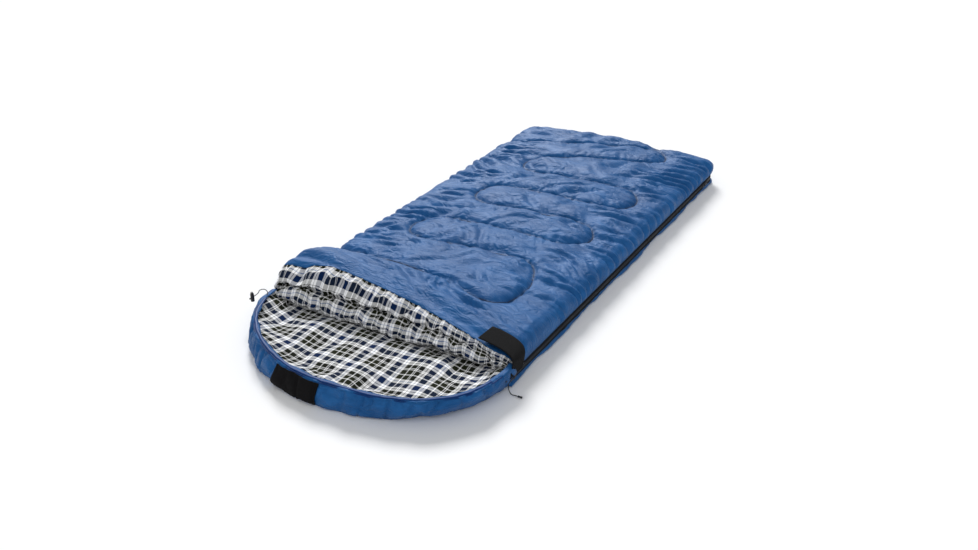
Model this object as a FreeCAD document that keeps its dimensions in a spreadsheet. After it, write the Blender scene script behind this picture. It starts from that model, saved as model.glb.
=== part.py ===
import FreeCAD, Part
import math
import os
import re
import Sketcher

# Rectangular sleeping bag with a half-round hood, lying zipped up on its back panel.
# Origin: centre of the bag's outline, on the ground. +X to the zipper side, +Y to the feet,
# +Z up. The bag is a base (back panel), a quilt (front panel) that opens about the folded
# left edge, and a hood that folds up about the shoulder line.

SIZES = {
    # driving sizes
    "bag_width": 965,
    "panel_length": 1920,
    "hood_depth": 370,
    "shell_thickness": 1.5,
    "lining_thickness": 1.5,
    "panel_gap": 0.4,
    "cut_margin": 5,
    # base
    "base_thickness": 40,
    "base_inset": 14.5,
    "foot_inset": 12,
    "corner_radius": 60,
    "base_rim_height": 15,
    "seam_recess": 4,
    "base_round": 6,
    # quilt
    "quilt_inset": 2.5,
    "hem_height": 46,
    "hem_round": 8,
    "side_low": 58,
    "side_high": 84,
    "edge_height": 104,
    "crown_height": 142,
    "hem_width": 40,
    "foot_hem_width": 50,
    "ceiling_height": 64,
    # head roll and draft collar
    "band_width": 215,
    "roll_left_height": 176,
    "roll_right_height": 114,
    "roll_end_inset": 8.5,
    "roll_back": 60,
    "roll_front_gap": 7,
    "roll_back_drop": 4,
    "roll_front_ratio": 0.88,
    "crease_height": 88,
    "crease_lip": 9.6,
    "roll_lining_depth": 33,
    "collar_radius": 22,
    "collar_set_back": 37,
    "collar_drop": 4,
    "collar_end_gap": 2,
    "tube_radius": 8.5,
    # zip
    "zip_plane": 30,
    "zip_head_gap": 20,
    "zip_foot_end": 430,
    "tape_thickness": 1.2,
    "tape_low": 9,
    "chain_thickness": 4,
    "chain_height": 4,
    "chain_gap": 2.6,
    "slider_length": 24,
    "slider_height": 16,
    "plate_thickness": 1.6,
    "slider_clearance": 0.5,
    "bridge_height": 1.8,
    "slider_front_gap": 0.7,
    "stop_length": 2,
    "foot_slider_inset": 160,
    "head_slider_inset": 17,
    "pin_radius": 0.9,
    "pin_clearance": 0.3,
    "eye_radius": 2.2,
    "pull_length": 26,
    "pull_width": 6,
    "pull_thickness": 1.6,
    # hood
    "hood_inset": 27.5,
    "rim_inset": 4.5,
    "rim_width": 60,
    "rim_height": 78,
    "rim_gap": 3,
    "label_thickness": 1.4,
    "label_low": 16,
    "label_width": 150,
    "label_centre": -80,
    "tunnel_inset": 8,
    "tunnel_width": 14,
    "tunnel_height": 8,
    "tunnel_wall": 2,
    "tunnel_end": 68,
    "drawcord_width": 4,
    "drawcord_height": 3.4,
    "piping_size": 3,
    # tab
    "tab_start": 345,
    "tab_thickness": 2.2,
    "tab_front_inset": 10,
    "tab_width": 85,
    "tab_lean": 65,
    "tab_low": 45,
    "tab_drop": 4,
    "tab_gap": 1,
    "tab_bend": 2,
    "tab_bend_inside": 1.4,
    "patch_thickness": 1,
    "patch_margin": 2,
    "patch_height": 16,
    "loop_patch_reach": 55,
    # small parts
    "loop_place": 380,
    "loop_width": 20,
    "loop_strap": 1.5,
    "gusset_low": 8,
    "gusset_high": 75,
    "cord_diameter": 3,
    "grip_radius": 3.6,
    "grip_length": 14,
    "lock_radius": 6.5,
    "lock_length": 28,
    "lock_bore": 5,
    "lock_wall": 2,
    "button_clearance": 0.3,
    "button_travel": 3,
    "button_reach": 6,
    "cord_clearance": 0.3,
    "knot_radius": 3,
}

# Places used by many pieces, as expressions of the sizes above.
HALF = "bag_width / 2"
SHOULDER = "(hood_depth - panel_length) / 2"
FOOT = "(hood_depth + panel_length) / 2"
BASE_HALF = f"({HALF} - base_inset)"
BASE_FOOT = f"({FOOT} - foot_inset)"
BASE_HEAD = f"({SHOULDER} + panel_gap)"
QUILT_HALF = f"({HALF} - quilt_inset)"
QUILT_HEAD = f"({SHOULDER} + band_width)"
ZIP_HEAD = f"({SHOULDER} + zip_head_gap)"
ROLL_HALF = f"({HALF} - roll_end_inset)"
HOOD_DEPTH = "(hood_depth - label_thickness)"
HOOD_HALF = f"({HALF} - hood_inset)"
RIM_HALF = f"({HALF} - rim_inset)"
TAB_FRONT = f"({SHOULDER} + tab_front_inset)"

# Parts of the quilt's half width where its crowned top is drawn.
OUTER_STATION = 0.75
INNER_STATION = 0.4

# The share of a run that the arc at its corner may take.
ARC_SHARE = 0.45

# The free cords, as routes chosen by hand; the tube turns from run to run in arcs.
DRAWCORD_ROUTE = [
    (-454.4, -843, 82),
    (-460, -826, 85),
    (-470, -811, 89),
    (-484, -802, 91),
    (-498, -803, 91),
    (-505, -816, 90),
    (-492, -833, 89),
    (-492, -876, 89),
]
PULL_CORD_ROUTE = [
    (475.6, -791.6, 30),
    (475.6, -804, 30),
    (482, -815, 24),
    (489, -820, 13),
    (497, -820, 5),
    (507, -816, 4),
    (517, -816, 4),
]
LOCK_PLACE = (-492, -864, 89)

doc = FreeCAD.newDocument("sleeping_bag")
sheet = doc.addObject("Spreadsheet::Sheet", "sizes")
for row, (alias, size) in enumerate(SIZES.items(), start=1):
    sheet.set(f"A{row}", alias)
    sheet.set(f"B{row}", str(size))
    sheet.setAlias(f"B{row}", alias)
doc.recompute()


def bound(text):
    """An expression with every size's name turned into a reference to its cell."""
    return re.sub(r"[a-z_]+", lambda m: f"sizes.{m[0]}" if m[0] in SIZES else m[0], str(text))


def value(text):
    """The number that an expression of the sizes gives."""
    return float(sheet.evalExpression(bound(text)))


def mirrored(points):
    """A right-hand outline, from bottom to top, closed with its own mirror image."""
    return points + [(f"-({x})", z) for x, z in reversed(points) if value(x) > 0]


# ---------------------------------------------------------------- sketches and solids

def draw_polygon(body, name, plane, points, start):
    """A closed polygon on one of the body's own planes, each corner bound to the sizes."""
    sketch = body.newObject("Sketcher::SketchObject", name)
    planes = body.Origin.OriginFeatures
    sketch.AttachmentSupport = (next(p for p in planes if p.Role == plane), [""])
    sketch.MapMode = "FlatFace"
    sign = "-" if plane == "XZ_Plane" else ""
    sketch.setExpression("AttachmentOffset.Base.z", bound(f"{sign}({start})"))
    corners = [FreeCAD.Vector(value(x), value(y), 0) for x, y in points]
    for i, corner in enumerate(corners):
        sketch.addGeometry(Part.LineSegment(corner, corners[(i + 1) % len(corners)]), False)
    for i in range(len(corners)):
        sketch.addConstraint(Sketcher.Constraint("Coincident", i, 2, (i + 1) % len(corners), 1))
    for i, (x, y) in enumerate(points):
        for kind, text, size in (("DistanceX", x, corners[i].x), ("DistanceY", y, corners[i].y)):
            index = sketch.addConstraint(Sketcher.Constraint(kind, -1, 1, i, 1, size))
            sketch.setExpression(f"Constraints[{index}]", bound(text))
    return sketch


def pad(body, sketch, length):
    feature = body.newObject("PartDesign::Pad", sketch.Name + "_pad")
    feature.Profile = sketch
    feature.Reversed = sketch.AttachmentSupport[0][0].Role == "XZ_Plane"
    feature.setExpression("Length", bound(length))
    return feature


def prism(label, plane, points, start, length):
    """A polygon on a plane, moved to start along the plane's axis and padded by length."""
    body = doc.addObject("PartDesign::Body", label)
    pad(body, draw_polygon(body, label + "_outline", plane, points, start), length)
    doc.recompute()
    return body


def round_edges(body, radius, wanted):
    """Fillet the edges of the body's tip that wanted picks."""
    base = body.Tip
    names = [f"Edge{i + 1}" for i, edge in enumerate(base.Shape.Edges) if wanted(edge)]
    feature = body.newObject("PartDesign::Fillet", f"{body.Name}_fillet")
    feature.Base = (base, names)
    feature.setExpression("Radius", bound(radius))
    doc.recompute()
    return body


def block(label, low, high):
    """A box between two corners given as expressions."""
    box = doc.addObject("Part::Box", label)
    for side, axis, a, b in zip(("Length", "Width", "Height"), "xyz", low, high):
        box.setExpression(side, bound(f"({b}) - ({a})"))
        box.setExpression(f"Placement.Base.{axis}", bound(a))
    return box


def rod(label, centre, axis, radius, length):
    """A cylinder that starts at centre and runs along axis."""
    cylinder = doc.addObject("Part::Cylinder", label)
    turn = FreeCAD.Rotation(FreeCAD.Vector(0, 0, 1), FreeCAD.Vector(*axis))
    cylinder.Placement = FreeCAD.Placement(FreeCAD.Vector(), turn)
    cylinder.setExpression("Radius", bound(radius))
    cylinder.setExpression("Height", bound(length))
    for name, text in zip("xyz", centre):
        cylinder.setExpression(f"Placement.Base.{name}", bound(text))
    return cylinder


def cut(label, base, *tools):
    for number, tool in enumerate(tools):
        result = doc.addObject("Part::Cut", label if tool is tools[-1] else f"{label}_cut{number}")
        result.Base, result.Tool = base, tool
        base = result
    return base


def common(label, base, tool):
    result = doc.addObject("Part::Common", label)
    result.Base, result.Tool = base, tool
    return result


def fuse(label, *pieces):
    result = doc.addObject("Part::MultiFuse", label)
    result.Shapes = list(pieces)
    return result


def plan_slab(label, half, head, foot, radius, low, high):
    """An upright slab with a square head end and two rounded foot corners."""
    corners = [(f"-({half})", head), (half, head), (half, foot), (f"-({half})", foot)]
    body = prism(label, "XY_Plane", corners, low, f"({high}) - ({low})")
    end = value(foot)

    def at_foot(edge):
        lengthwise = abs(edge.Vertexes[0].Z - edge.Vertexes[-1].Z) > 0.5
        return lengthwise and abs(edge.CenterOfMass.y - end) < 0.01

    return round_edges(body, radius, at_foot)


def half_oval(label, half, depth, low, high):
    """An elliptic slab about the middle of the shoulder line, still whole."""
    oval = doc.addObject("Part::Ellipse", label + "_outline")
    narrow = value(half) < value(depth)
    oval.setExpression("MajorRadius", bound(depth if narrow else half))
    oval.setExpression("MinorRadius", bound(half if narrow else depth))
    oval.setExpression("Placement.Base.y", bound(SHOULDER))
    oval.setExpression("Placement.Base.z", bound(low))
    slab = doc.addObject("Part::Extrusion", label)
    slab.Base = oval
    slab.DirMode = "Custom"
    slab.Dir = FreeCAD.Vector(0, 0, 1)
    slab.Solid = True
    slab.setExpression("LengthFwd", bound(f"({high}) - ({low})"))
    return slab


def front_region(label, gap):
    """Everything headwards of the shoulder line, less a gap."""
    return block(label, ("-bag_width", f"{SHOULDER} - 2 * hood_depth", "-cut_margin"),
                 ("bag_width", f"{SHOULDER} - ({gap})", "4 * rim_height"))


def rim_region(label):
    """The same, but leaning back at 45 degrees so that the rim clears the quilt as it folds."""
    near = f"{SHOULDER} - rim_gap"
    far = f"{SHOULDER} - 2 * hood_depth"
    points = [(near, "base_thickness"), (far, "base_thickness"), (far, "2 * base_thickness + rim_width"),
              (f"{near} - base_thickness - rim_width", "2 * base_thickness + rim_width")]
    return prism(label, "YZ_Plane", points, "-bag_width", "2 * bag_width")


def oval_ring(label, inset, width, low, high, region):
    """Part of the rim: a ring this far inside the rim's outline, within a region."""
    outer = half_oval(label + "_outer", f"{RIM_HALF} - ({inset})", f"{HOOD_DEPTH} - ({inset})",
                      low, high)
    inner = half_oval(label + "_inner", f"{RIM_HALF} - ({inset}) - ({width})",
                      f"{HOOD_DEPTH} - ({inset}) - ({width})", low, high)
    return common(label, cut(label + "_ring", outer, inner), region)


# ---------------------------------------------------------------- base

def base_blank(label, inset, low, high):
    """The back panel's outline: a wide lower edge and a recess above it for the zip."""
    radius = f"corner_radius - ({inset})"
    lower = plan_slab(label + "_lower", f"{BASE_HALF} - ({inset})", f"{BASE_HEAD} + ({inset})",
                      f"{BASE_FOOT} - ({inset})", radius, low, "base_rim_height")
    recess = f"{inset} + seam_recess"
    upper = plan_slab(label + "_upper", f"{BASE_HALF} - ({recess})", f"{BASE_HEAD} + ({inset})",
                      f"{BASE_FOOT} - ({recess})", f"{radius} - seam_recess",
                      "base_rim_height", high)
    return fuse(label, lower, upper)


def make_base():
    outer = base_blank("base_outer", "0", "0", "base_thickness")
    base_fill = base_blank("base_fill", "shell_thickness", "shell_thickness",
                           "base_thickness - lining_thickness")
    turn_in = "seam_recess + base_round"
    base_lining = plan_slab("base_lining", f"{BASE_HALF} - ({turn_in})",
                            BASE_HEAD, f"{BASE_FOOT} - ({turn_in})",
                            f"corner_radius - ({turn_in})",
                            "base_thickness - lining_thickness", "base_thickness")
    base_shell = cut("base_shell", outer, base_fill, base_lining)
    return [base_shell, base_fill, base_lining]


def make_fold_gusset():
    """The strip of shell that turns up at the folded left edge, where the quilt hinges."""
    outside = f"-{HALF}"
    inside = f"-{BASE_HALF}"
    skin = "shell_thickness"
    points = [(inside, "gusset_low"), (outside, "gusset_low"), (outside, "gusset_high"),
              (f"{outside} + {skin}", "gusset_high"), (f"{outside} + {skin}", f"gusset_low + {skin}"),
              (inside, f"gusset_low + {skin}")]
    head = f"{SHOULDER} + band_width"
    return prism("left_fold_gusset", "XZ_Plane", points, head,
                 f"{BASE_FOOT} - corner_radius - ({head})")


def make_hang_loops():
    """Two loops of webbing sewn into the foot seam."""
    loops = []
    for side, sign in (("left", "-"), ("right", "")):
        low_x = f"{sign}loop_place - loop_width / 2"
        high_x = f"{sign}loop_place + loop_width / 2"
        outer = block(f"{side}_loop_outer", (low_x, BASE_FOOT, "loop_strap / 3"),
                      (high_x, f"{FOOT} - loop_strap", "tape_low - loop_strap / 2"))
        inner = block(f"{side}_loop_inner", (low_x, f"{BASE_FOOT} + loop_strap", "loop_strap * 4 / 3"),
                      (high_x, f"{FOOT} - 2 * loop_strap", "tape_low - loop_strap * 3 / 2"))
        loops.append(cut(f"{side}_loop", outer, inner))
    return fuse("hang_loops", *loops)


# ---------------------------------------------------------------- quilt

def crown(part):
    """The quilt's top at a part of its half width: highest along the middle."""
    return f"crown_height - (crown_height - edge_height) * {part} * {part}"


def quilt_blank(label, inset):
    """The front panel: a crowned section with a flat hem, rounded at the foot corners."""
    half = f"{QUILT_HALF} - ({inset})"
    section = mirrored([
        (f"{half} - hem_round", f"hem_height + ({inset})"),
        (half, "side_low"),
        (half, "side_high"),
        (f"{half} - 2 * hem_round", f"{crown(1)} - ({inset})"),
        (f"{QUILT_HALF} * {OUTER_STATION}", f"{crown(OUTER_STATION)} - ({inset})"),
        (f"{QUILT_HALF} * {INNER_STATION}", f"{crown(INNER_STATION)} - ({inset})"),
        ("0", f"{crown(0)} - ({inset})"),
    ])
    head = f"{QUILT_HEAD} + ({inset})"
    length = f"{FOOT} - ({head}) + corner_radius"
    long_pad = prism(label + "_section", "XZ_Plane", section, head, length)
    outline = plan_slab(label + "_plan", half, head, f"{FOOT} - ({inset})",
                        f"corner_radius + foot_inset - ({inset})", "0", "2 * crown_height")
    return common(label, long_pad, outline)


def cavity(label, skin):
    """The hollow over the sleeper, open underneath and at the head."""
    half = f"({QUILT_HALF} - hem_width + ({skin}))"
    return block(label, (f"-{half}", f"{SHOULDER} - 2 * cut_margin", "base_thickness"),
                 (half, f"{FOOT} - foot_hem_width + ({skin})", f"ceiling_height + ({skin})"))


def make_quilt():
    """The shell, its lining, and the filling in four pieces: the top and the three hems."""
    hollow = cavity("quilt_hollow", "0")
    lined_hollow = cavity("quilt_lined_hollow", "lining_thickness")
    outer = cut("quilt_outer", quilt_blank("quilt_outer_blank", "0"), hollow)
    filling = cut("quilt_filling", quilt_blank("quilt_filling_blank", "shell_thickness"),
                  lined_hollow)
    skin = cut("quilt_skin", outer, filling)
    quilt_lining = common("quilt_lining", skin, lined_hollow)
    quilt_shell = cut("quilt_shell", skin, lined_hollow)
    ceiling = "ceiling_height + lining_thickness"
    side = f"({QUILT_HALF} - hem_width + lining_thickness)"
    end = f"{FOOT} - foot_hem_width + lining_thickness"
    far = "panel_length"
    top = block("top_region", ("-bag_width", f"-{far}", ceiling),
                ("bag_width", far, "2 * crown_height"))
    left = block("left_hem_region", ("-bag_width", f"-{far}", "0"), (f"-{side}", far, ceiling))
    right = block("right_hem_region", (side, f"-{far}", "0"), ("bag_width", far, ceiling))
    foot = block("foot_hem_region", (f"-{side}", end, "0"), (side, far, ceiling))
    fills = [common("quilt_fill", filling, top), common("left_hem_fill", filling, left),
             common("right_hem_fill", filling, right), common("foot_hem_fill", filling, foot)]
    return [quilt_shell, *fills, quilt_lining]


def roll_outline(height, lift):
    """The head roll's section in Y and Z: its top, then its front face, then its flat back."""
    front = f"{SHOULDER} + roll_front_gap + ({lift})"
    return [
        (f"{QUILT_HEAD} - panel_gap", "ceiling_height"),
        (f"{QUILT_HEAD} - panel_gap", f"({height}) - roll_back_drop - ({lift})"),
        (f"{QUILT_HEAD} - roll_back", f"({height}) - ({lift})"),
        (f"{SHOULDER} + roll_back", f"({height}) * roll_front_ratio - ({lift})"),
        (front, "crease_height + crease_lip"),
        (front, "crease_height"),
        (f"{SHOULDER} + roll_back", "crease_height"),
        (f"{SHOULDER} + roll_back", "ceiling_height"),
    ]


def roll_loft(label, lift, end_inset):
    """The roll, from its high left end down to its low right end."""
    body = doc.addObject("PartDesign::Body", label)
    half = f"({ROLL_HALF} - ({end_inset}))"
    left = draw_polygon(body, label + "_left", "YZ_Plane", roll_outline("roll_left_height", lift),
                        f"-{half}")
    right = draw_polygon(body, label + "_right", "YZ_Plane",
                         roll_outline("roll_right_height", lift), half)
    loft = body.newObject("PartDesign::AdditiveLoft", label + "_loft")
    loft.Profile = left
    loft.Sections = [right]
    loft.Ruled = True
    doc.recompute()
    return body


def make_head_roll():
    """The unquilted band at the head: thick filling under shell, lined on its front face."""
    outer = roll_loft("head_roll_outer", "0", "0")
    head_roll_fill = roll_loft("head_roll_fill", "shell_thickness", "0")
    skin = cut("head_roll_skin", outer, head_roll_fill)
    front = block("head_roll_front", ("-bag_width", SHOULDER, "0"),
                  ("bag_width", f"{SHOULDER} + roll_lining_depth", "3 * crown_height"))
    head_roll_lining = common("head_roll_lining", skin, front)
    head_roll_shell = cut("head_roll_shell", skin, front)
    return [head_roll_shell, head_roll_fill, head_roll_lining]


def make_side_hems():
    """The quilt's side hems run on under the head roll, where the zip tape ends."""
    hems = []
    for side, sign in (("left", -1), ("right", 1)):
        inner = f"{sign} * ({QUILT_HALF} - hem_width)"
        outer = f"{sign} * ({QUILT_HALF} - hem_round)"
        low_x, high_x = (inner, outer) if sign > 0 else (outer, inner)
        hems.append(block(f"{side}_hem", (low_x, ZIP_HEAD, "hem_height"),
                          (high_x, f"{QUILT_HEAD} - panel_gap", "ceiling_height")))
    return fuse("head_side_hems", *hems)


def make_draft_collar():
    """The stuffed roll that closes the gap at the sleeper's shoulders."""
    half = f"({QUILT_HALF} - hem_width - collar_end_gap)"
    return rod("draft_collar", (f"-{half}", f"{SHOULDER} + collar_set_back",
                                "hem_height - collar_drop + collar_radius"),
               (1, 0, 0), "collar_radius", f"2 * {half}")


def make_draft_tube():
    """The stuffed tube that covers the zip from inside."""
    return rod("draft_tube", (f"{QUILT_HALF} - hem_width - tube_radius - panel_gap",
                              f"{QUILT_HEAD} + panel_gap",
                              "ceiling_height - tube_radius - panel_gap"),
               (0, 1, 0), "tube_radius", f"{FOOT} - foot_hem_width - corner_radius - {QUILT_HEAD}")


# ---------------------------------------------------------------- zip

def zip_strip(label, thickness, low, high):
    """A strip along the right side, round the foot corner and along the foot."""
    middle = "tape_thickness / 2"
    out = f"{middle} + ({thickness}) / 2"
    into = f"{middle} - ({thickness}) / 2"
    outer = plan_slab(label + "_outer", f"{BASE_HALF} + {out}", ZIP_HEAD, f"{BASE_FOOT} + {out}",
                      f"corner_radius + {out}", low, high)
    inner = plan_slab(label + "_inner", f"{BASE_HALF} + {into}", f"{ZIP_HEAD} - 2 * cut_margin",
                      f"{BASE_FOOT} + {into}", f"corner_radius + {into}", low, high)
    corner = [("tab_start", f"{ZIP_HEAD} - cut_margin"), ("bag_width", f"{ZIP_HEAD} - cut_margin"),
              ("bag_width", "panel_length"), ("-zip_foot_end", "panel_length"),
              ("-zip_foot_end", "panel_length / 2"), ("tab_start", "panel_length / 2")]
    region = prism(label + "_region", "XY_Plane", corner, f"({low}) - cut_margin",
                   f"({high}) - ({low}) + 2 * cut_margin")
    return common(label, cut(label + "_ring", outer, inner), region)


def make_zip():
    """Two tapes, each with a row of teeth as one bead; the slider's bridge runs between them."""
    base_top = "zip_plane - chain_gap / 2"
    quilt_low = "zip_plane + chain_gap / 2"
    base_tape = zip_strip("base_zip_tape", "tape_thickness", "tape_low",
                          f"{base_top} - chain_height")
    base_chain = zip_strip("base_zip_chain", "chain_thickness", f"{base_top} - chain_height",
                           base_top)
    quilt_chain = zip_strip("quilt_zip_chain", "chain_thickness", quilt_low,
                            f"{quilt_low} + chain_height")
    quilt_tape = zip_strip("quilt_zip_tape", "tape_thickness", f"{quilt_low} + chain_height",
                           "hem_height")
    return [base_tape, base_chain, quilt_chain, quilt_tape]


def make_zip_stops():
    """A stop at the head end of each row of teeth."""
    inner = f"{BASE_HALF} + tape_thickness / 2 - chain_thickness / 2"
    outer = f"{BASE_HALF} + tape_thickness / 2 + chain_thickness / 2"
    base_top = "zip_plane - chain_gap / 2"
    quilt_low = "zip_plane + chain_gap / 2"
    base_stop = block("base_zip_stop", (inner, f"{ZIP_HEAD} - stop_length", f"{base_top} - chain_height"),
                      (outer, ZIP_HEAD, base_top))
    quilt_stop = block("quilt_zip_stop", (inner, f"{ZIP_HEAD} - stop_length", quilt_low),
                       (outer, ZIP_HEAD, f"{quilt_low} + chain_height"))
    return [base_stop, quilt_stop]


def make_slider(name, place, way):
    """A slider at a place along the side, its pull hinged at the end that way points to."""
    middle = f"{BASE_HALF} + tape_thickness / 2"
    inner = f"{middle} - chain_thickness / 2 - slider_clearance"
    outer = f"{middle} + chain_thickness / 2 + slider_front_gap"
    low_y = f"{place} - slider_length / 2"
    high_y = f"{place} + slider_length / 2"
    low_z = "zip_plane - slider_height / 2"
    high_z = "zip_plane + slider_height / 2"
    back = block(f"{name}_back", (f"{inner} - plate_thickness", low_y, low_z),
                 (inner, high_y, high_z))
    front = block(f"{name}_front", (outer, low_y, low_z),
                  (f"{outer} + plate_thickness", high_y, high_z))
    end = low_y if way < 0 else high_y
    far = f"{end} - ({way}) * slider_length / 2"
    bridge_low, bridge_high = (end, far) if way < 0 else (far, end)
    bridge = block(f"{name}_bridge", (inner, bridge_low, "zip_plane - bridge_height / 2"),
                   (outer, bridge_high, "zip_plane + bridge_height / 2"))
    pin_x = f"{outer} + plate_thickness + eye_radius + slider_clearance"
    pin_y = f"{end} - ({way}) * 2 * eye_radius"
    lugs = []
    for side, sign in (("lower", -1), ("upper", 1)):
        near = f"zip_plane + {sign} * (pull_width / 2 + pin_clearance)"
        away = f"{near} + {sign} * plate_thickness"
        low, high = (away, near) if sign < 0 else (near, away)
        lugs.append(block(f"{name}_{side}_lug",
                          (f"{outer} + plate_thickness", f"{pin_y} - eye_radius", low),
                          (f"{pin_x} + 2 * pin_radius", f"{pin_y} + eye_radius", high)))
    pin_low = "zip_plane - pull_width / 2 - pin_clearance - plate_thickness"
    pin = rod(f"{name}_pull_pin", (pin_x, pin_y, pin_low), (0, 0, 1), "pin_radius",
              "pull_width + 2 * pin_clearance + 2 * plate_thickness")
    slider = fuse(f"{name}_slider", back, front, bridge, *lugs)
    holes = cut(f"{name}_slider_body", slider, pin)
    return [holes, pin], (pin_x, pin_y)


def make_pull(name, pin, way):
    """A pull: an eye round the pin and a flat tongue that lies along the zip."""
    low_z = "zip_plane - pull_width / 2"
    eye = rod(f"{name}_eye", (*pin, low_z), (0, 0, 1), "eye_radius", "pull_width")
    hole = rod(f"{name}_eye_hole", (*pin, f"{low_z} - cut_margin"), (0, 0, 1),
               "pin_radius + pin_clearance", "pull_width + 2 * cut_margin")
    tip = f"{pin[1]} + ({way}) * pull_length"
    low_y, high_y = (tip, pin[1]) if way < 0 else (pin[1], tip)
    tongue = block(f"{name}_tongue", (f"{pin[0]} - pull_thickness / 2", low_y, low_z),
                   (f"{pin[0]} + pull_thickness / 2", high_y, "zip_plane + pull_width / 2"))
    return cut(f"{name}_pull_tab", fuse(f"{name}_pull_blank", eye, tongue), hole), tip


def make_foot_grip(pin, tip):
    """The moulded cross-bar at the end of the foot pull."""
    return rod("foot_pull_grip", (pin[0], f"{tip} + grip_radius / 2", "zip_plane - pull_width"),
               (0, 0, 1), "grip_radius / 2", "2 * pull_width")


# ---------------------------------------------------------------- hood

def make_hood():
    region = front_region("hood_region", "panel_gap")
    inner_region = front_region("hood_fill_region", "panel_gap + shell_thickness")
    outer = common("hood_outer", half_oval("hood_outer_oval", HOOD_HALF, HOOD_DEPTH, "0",
                                           "base_thickness"), region)
    fill = half_oval("hood_fill_oval", f"{HOOD_HALF} - shell_thickness",
                     f"{HOOD_DEPTH} - shell_thickness", "shell_thickness",
                     "base_thickness - lining_thickness")
    hood_fill = common("hood_fill", fill, inner_region)
    lining = half_oval("hood_lining_oval", f"{HOOD_HALF} - base_round", f"{HOOD_DEPTH} - base_round",
                       "base_thickness - lining_thickness", "base_thickness")
    hood_lining = common("hood_lining", lining, front_region("hood_lining_region", "panel_gap"))
    hood_shell = cut("hood_shell", outer, hood_fill, hood_lining)
    return [hood_shell, hood_fill, hood_lining]


def make_rim():
    """The stuffed wall round the hood: filling in a cover, lined on the inside."""
    low = "base_thickness"
    cover = oval_ring("rim_outer", "0", "rim_width", low, "rim_height", rim_region("rim_end"))
    rim_fill = oval_ring("rim_fill", "shell_thickness", "rim_width - 2 * shell_thickness",
                         f"{low} + shell_thickness", "rim_height - shell_thickness",
                         rim_region("rim_fill_end"))
    rim_lining = oval_ring("rim_lining", "rim_width - lining_thickness", "lining_thickness",
                           low, "rim_height", rim_region("rim_lining_end"))
    rim_shell = cut("rim_shell", cover, rim_fill, rim_lining)
    rim_piping = oval_ring("rim_piping", "0", "piping_size", "rim_height",
                           "rim_height + piping_size", rim_region("piping_end"))
    return [rim_shell, rim_fill, rim_lining, rim_piping]


def make_drawcord_tunnel():
    """The sewn tunnel along the rim's top, and the flat drawcord that lies in it."""
    low, high = "rim_height", "rim_height + tunnel_height"
    blank = oval_ring("tunnel_blank", "tunnel_inset", "tunnel_width", low, high,
                      front_region("tunnel_end_region", "tunnel_end"))
    bore = oval_ring("tunnel_bore", "tunnel_inset + tunnel_wall", "tunnel_width - 2 * tunnel_wall",
                     f"{low} + tunnel_wall", f"{high} - tunnel_wall",
                     front_region("tunnel_bore_region", "tunnel_end - cut_margin"))
    tunnel = cut("drawcord_tunnel", blank, bore)
    inset = "tunnel_inset + tunnel_width / 2 - drawcord_width / 2"
    middle = "rim_height + tunnel_height / 2"
    drawcord = oval_ring("hood_drawcord", inset, "drawcord_width",
                         f"{middle} - drawcord_height / 2", f"{middle} + drawcord_height / 2",
                         front_region("drawcord_region", "tunnel_end"))
    return [tunnel, drawcord]


def make_eyelet():
    """The ring in the tunnel's left end that the drawcord leaves through."""
    x, y, z = DRAWCORD_ROUTE[0]
    shoulder_end = f"{SHOULDER} - tunnel_end"
    outer = rod("eyelet_outer", (x, shoulder_end, z), (0, 1, 0), "tunnel_height / 2 - cord_clearance",
                "shell_thickness")
    hole = rod("eyelet_hole", (x, f"{shoulder_end} - cut_margin", z), (0, 1, 0),
               "cord_diameter / 2 + 2 * cord_clearance", "4 * cut_margin")
    return cut("drawcord_eyelet", outer, hole)


def make_label():
    """A blank fabric patch on the hood's outer wall."""
    low, high = "label_low", "rim_height - piping_size"
    outer = half_oval("label_outer", f"{RIM_HALF} + label_thickness", "hood_depth", low, high)
    inner = half_oval("label_inner", RIM_HALF, HOOD_DEPTH, low, high)
    left = "label_centre - label_width / 2"
    right = "label_centre + label_width / 2"
    region = block("label_region", (left, f"{SHOULDER} - 2 * hood_depth", low),
                   (right, SHOULDER, high))
    return common("hood_label", cut("label_ring", outer, inner), region)


# ---------------------------------------------------------------- tab

def leg_outline(low, high):
    """The tab's hanging leg between two heights, leaning headwards as it goes down."""
    top = "(roll_right_height - tab_drop)"
    slope = f"tab_lean / ({top} - tab_low)"
    front_low = f"{TAB_FRONT} - ({top} - ({low})) * {slope}"
    front_high = f"{TAB_FRONT} - ({top} - ({high})) * {slope}"
    return [(front_low, low), (f"{front_low} + tab_width", low),
            (f"{front_high} + tab_width", high), (front_high, high)]


def make_tab():
    """The hook-and-loop tab: sewn to the quilt's corner and closed on the hood's rim."""
    top = "(roll_right_height - tab_drop)"
    rise = f"(roll_left_height - roll_right_height) / (2 * {ROLL_HALF})"
    high = "(roll_right_height + tab_gap)"
    start = f"({high} + ({ROLL_HALF} - tab_start) * {rise})"
    points = [
        ("tab_start", start),
        (ROLL_HALF, high),
        (f"{HALF} - tab_thickness", f"{top} + tab_bend_inside"),
        (f"{HALF} - tab_thickness", f"{top} - tab_bend"),
        (HALF, f"{top} - tab_bend"),
        (HALF, f"{top} + tab_bend"),
        (f"{ROLL_HALF} + tab_gap", f"{high} + tab_thickness"),
        ("tab_start", f"{start} + tab_thickness"),
    ]
    flat = prism("tab_top", "XZ_Plane", points, TAB_FRONT, "tab_width")
    leg = prism("tab_leg", "YZ_Plane", leg_outline("tab_low", top), f"{HALF} - tab_thickness",
                "tab_thickness")
    closing_tab = fuse("closing_tab", flat, leg)
    patch = leg_outline("tab_low + patch_margin", "tab_low + patch_margin + patch_height")
    tab_hook_patch = prism("tab_hook_patch", "YZ_Plane", patch,
                           f"{HALF} - tab_thickness - patch_thickness", "patch_thickness")
    return [closing_tab, tab_hook_patch]


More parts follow.
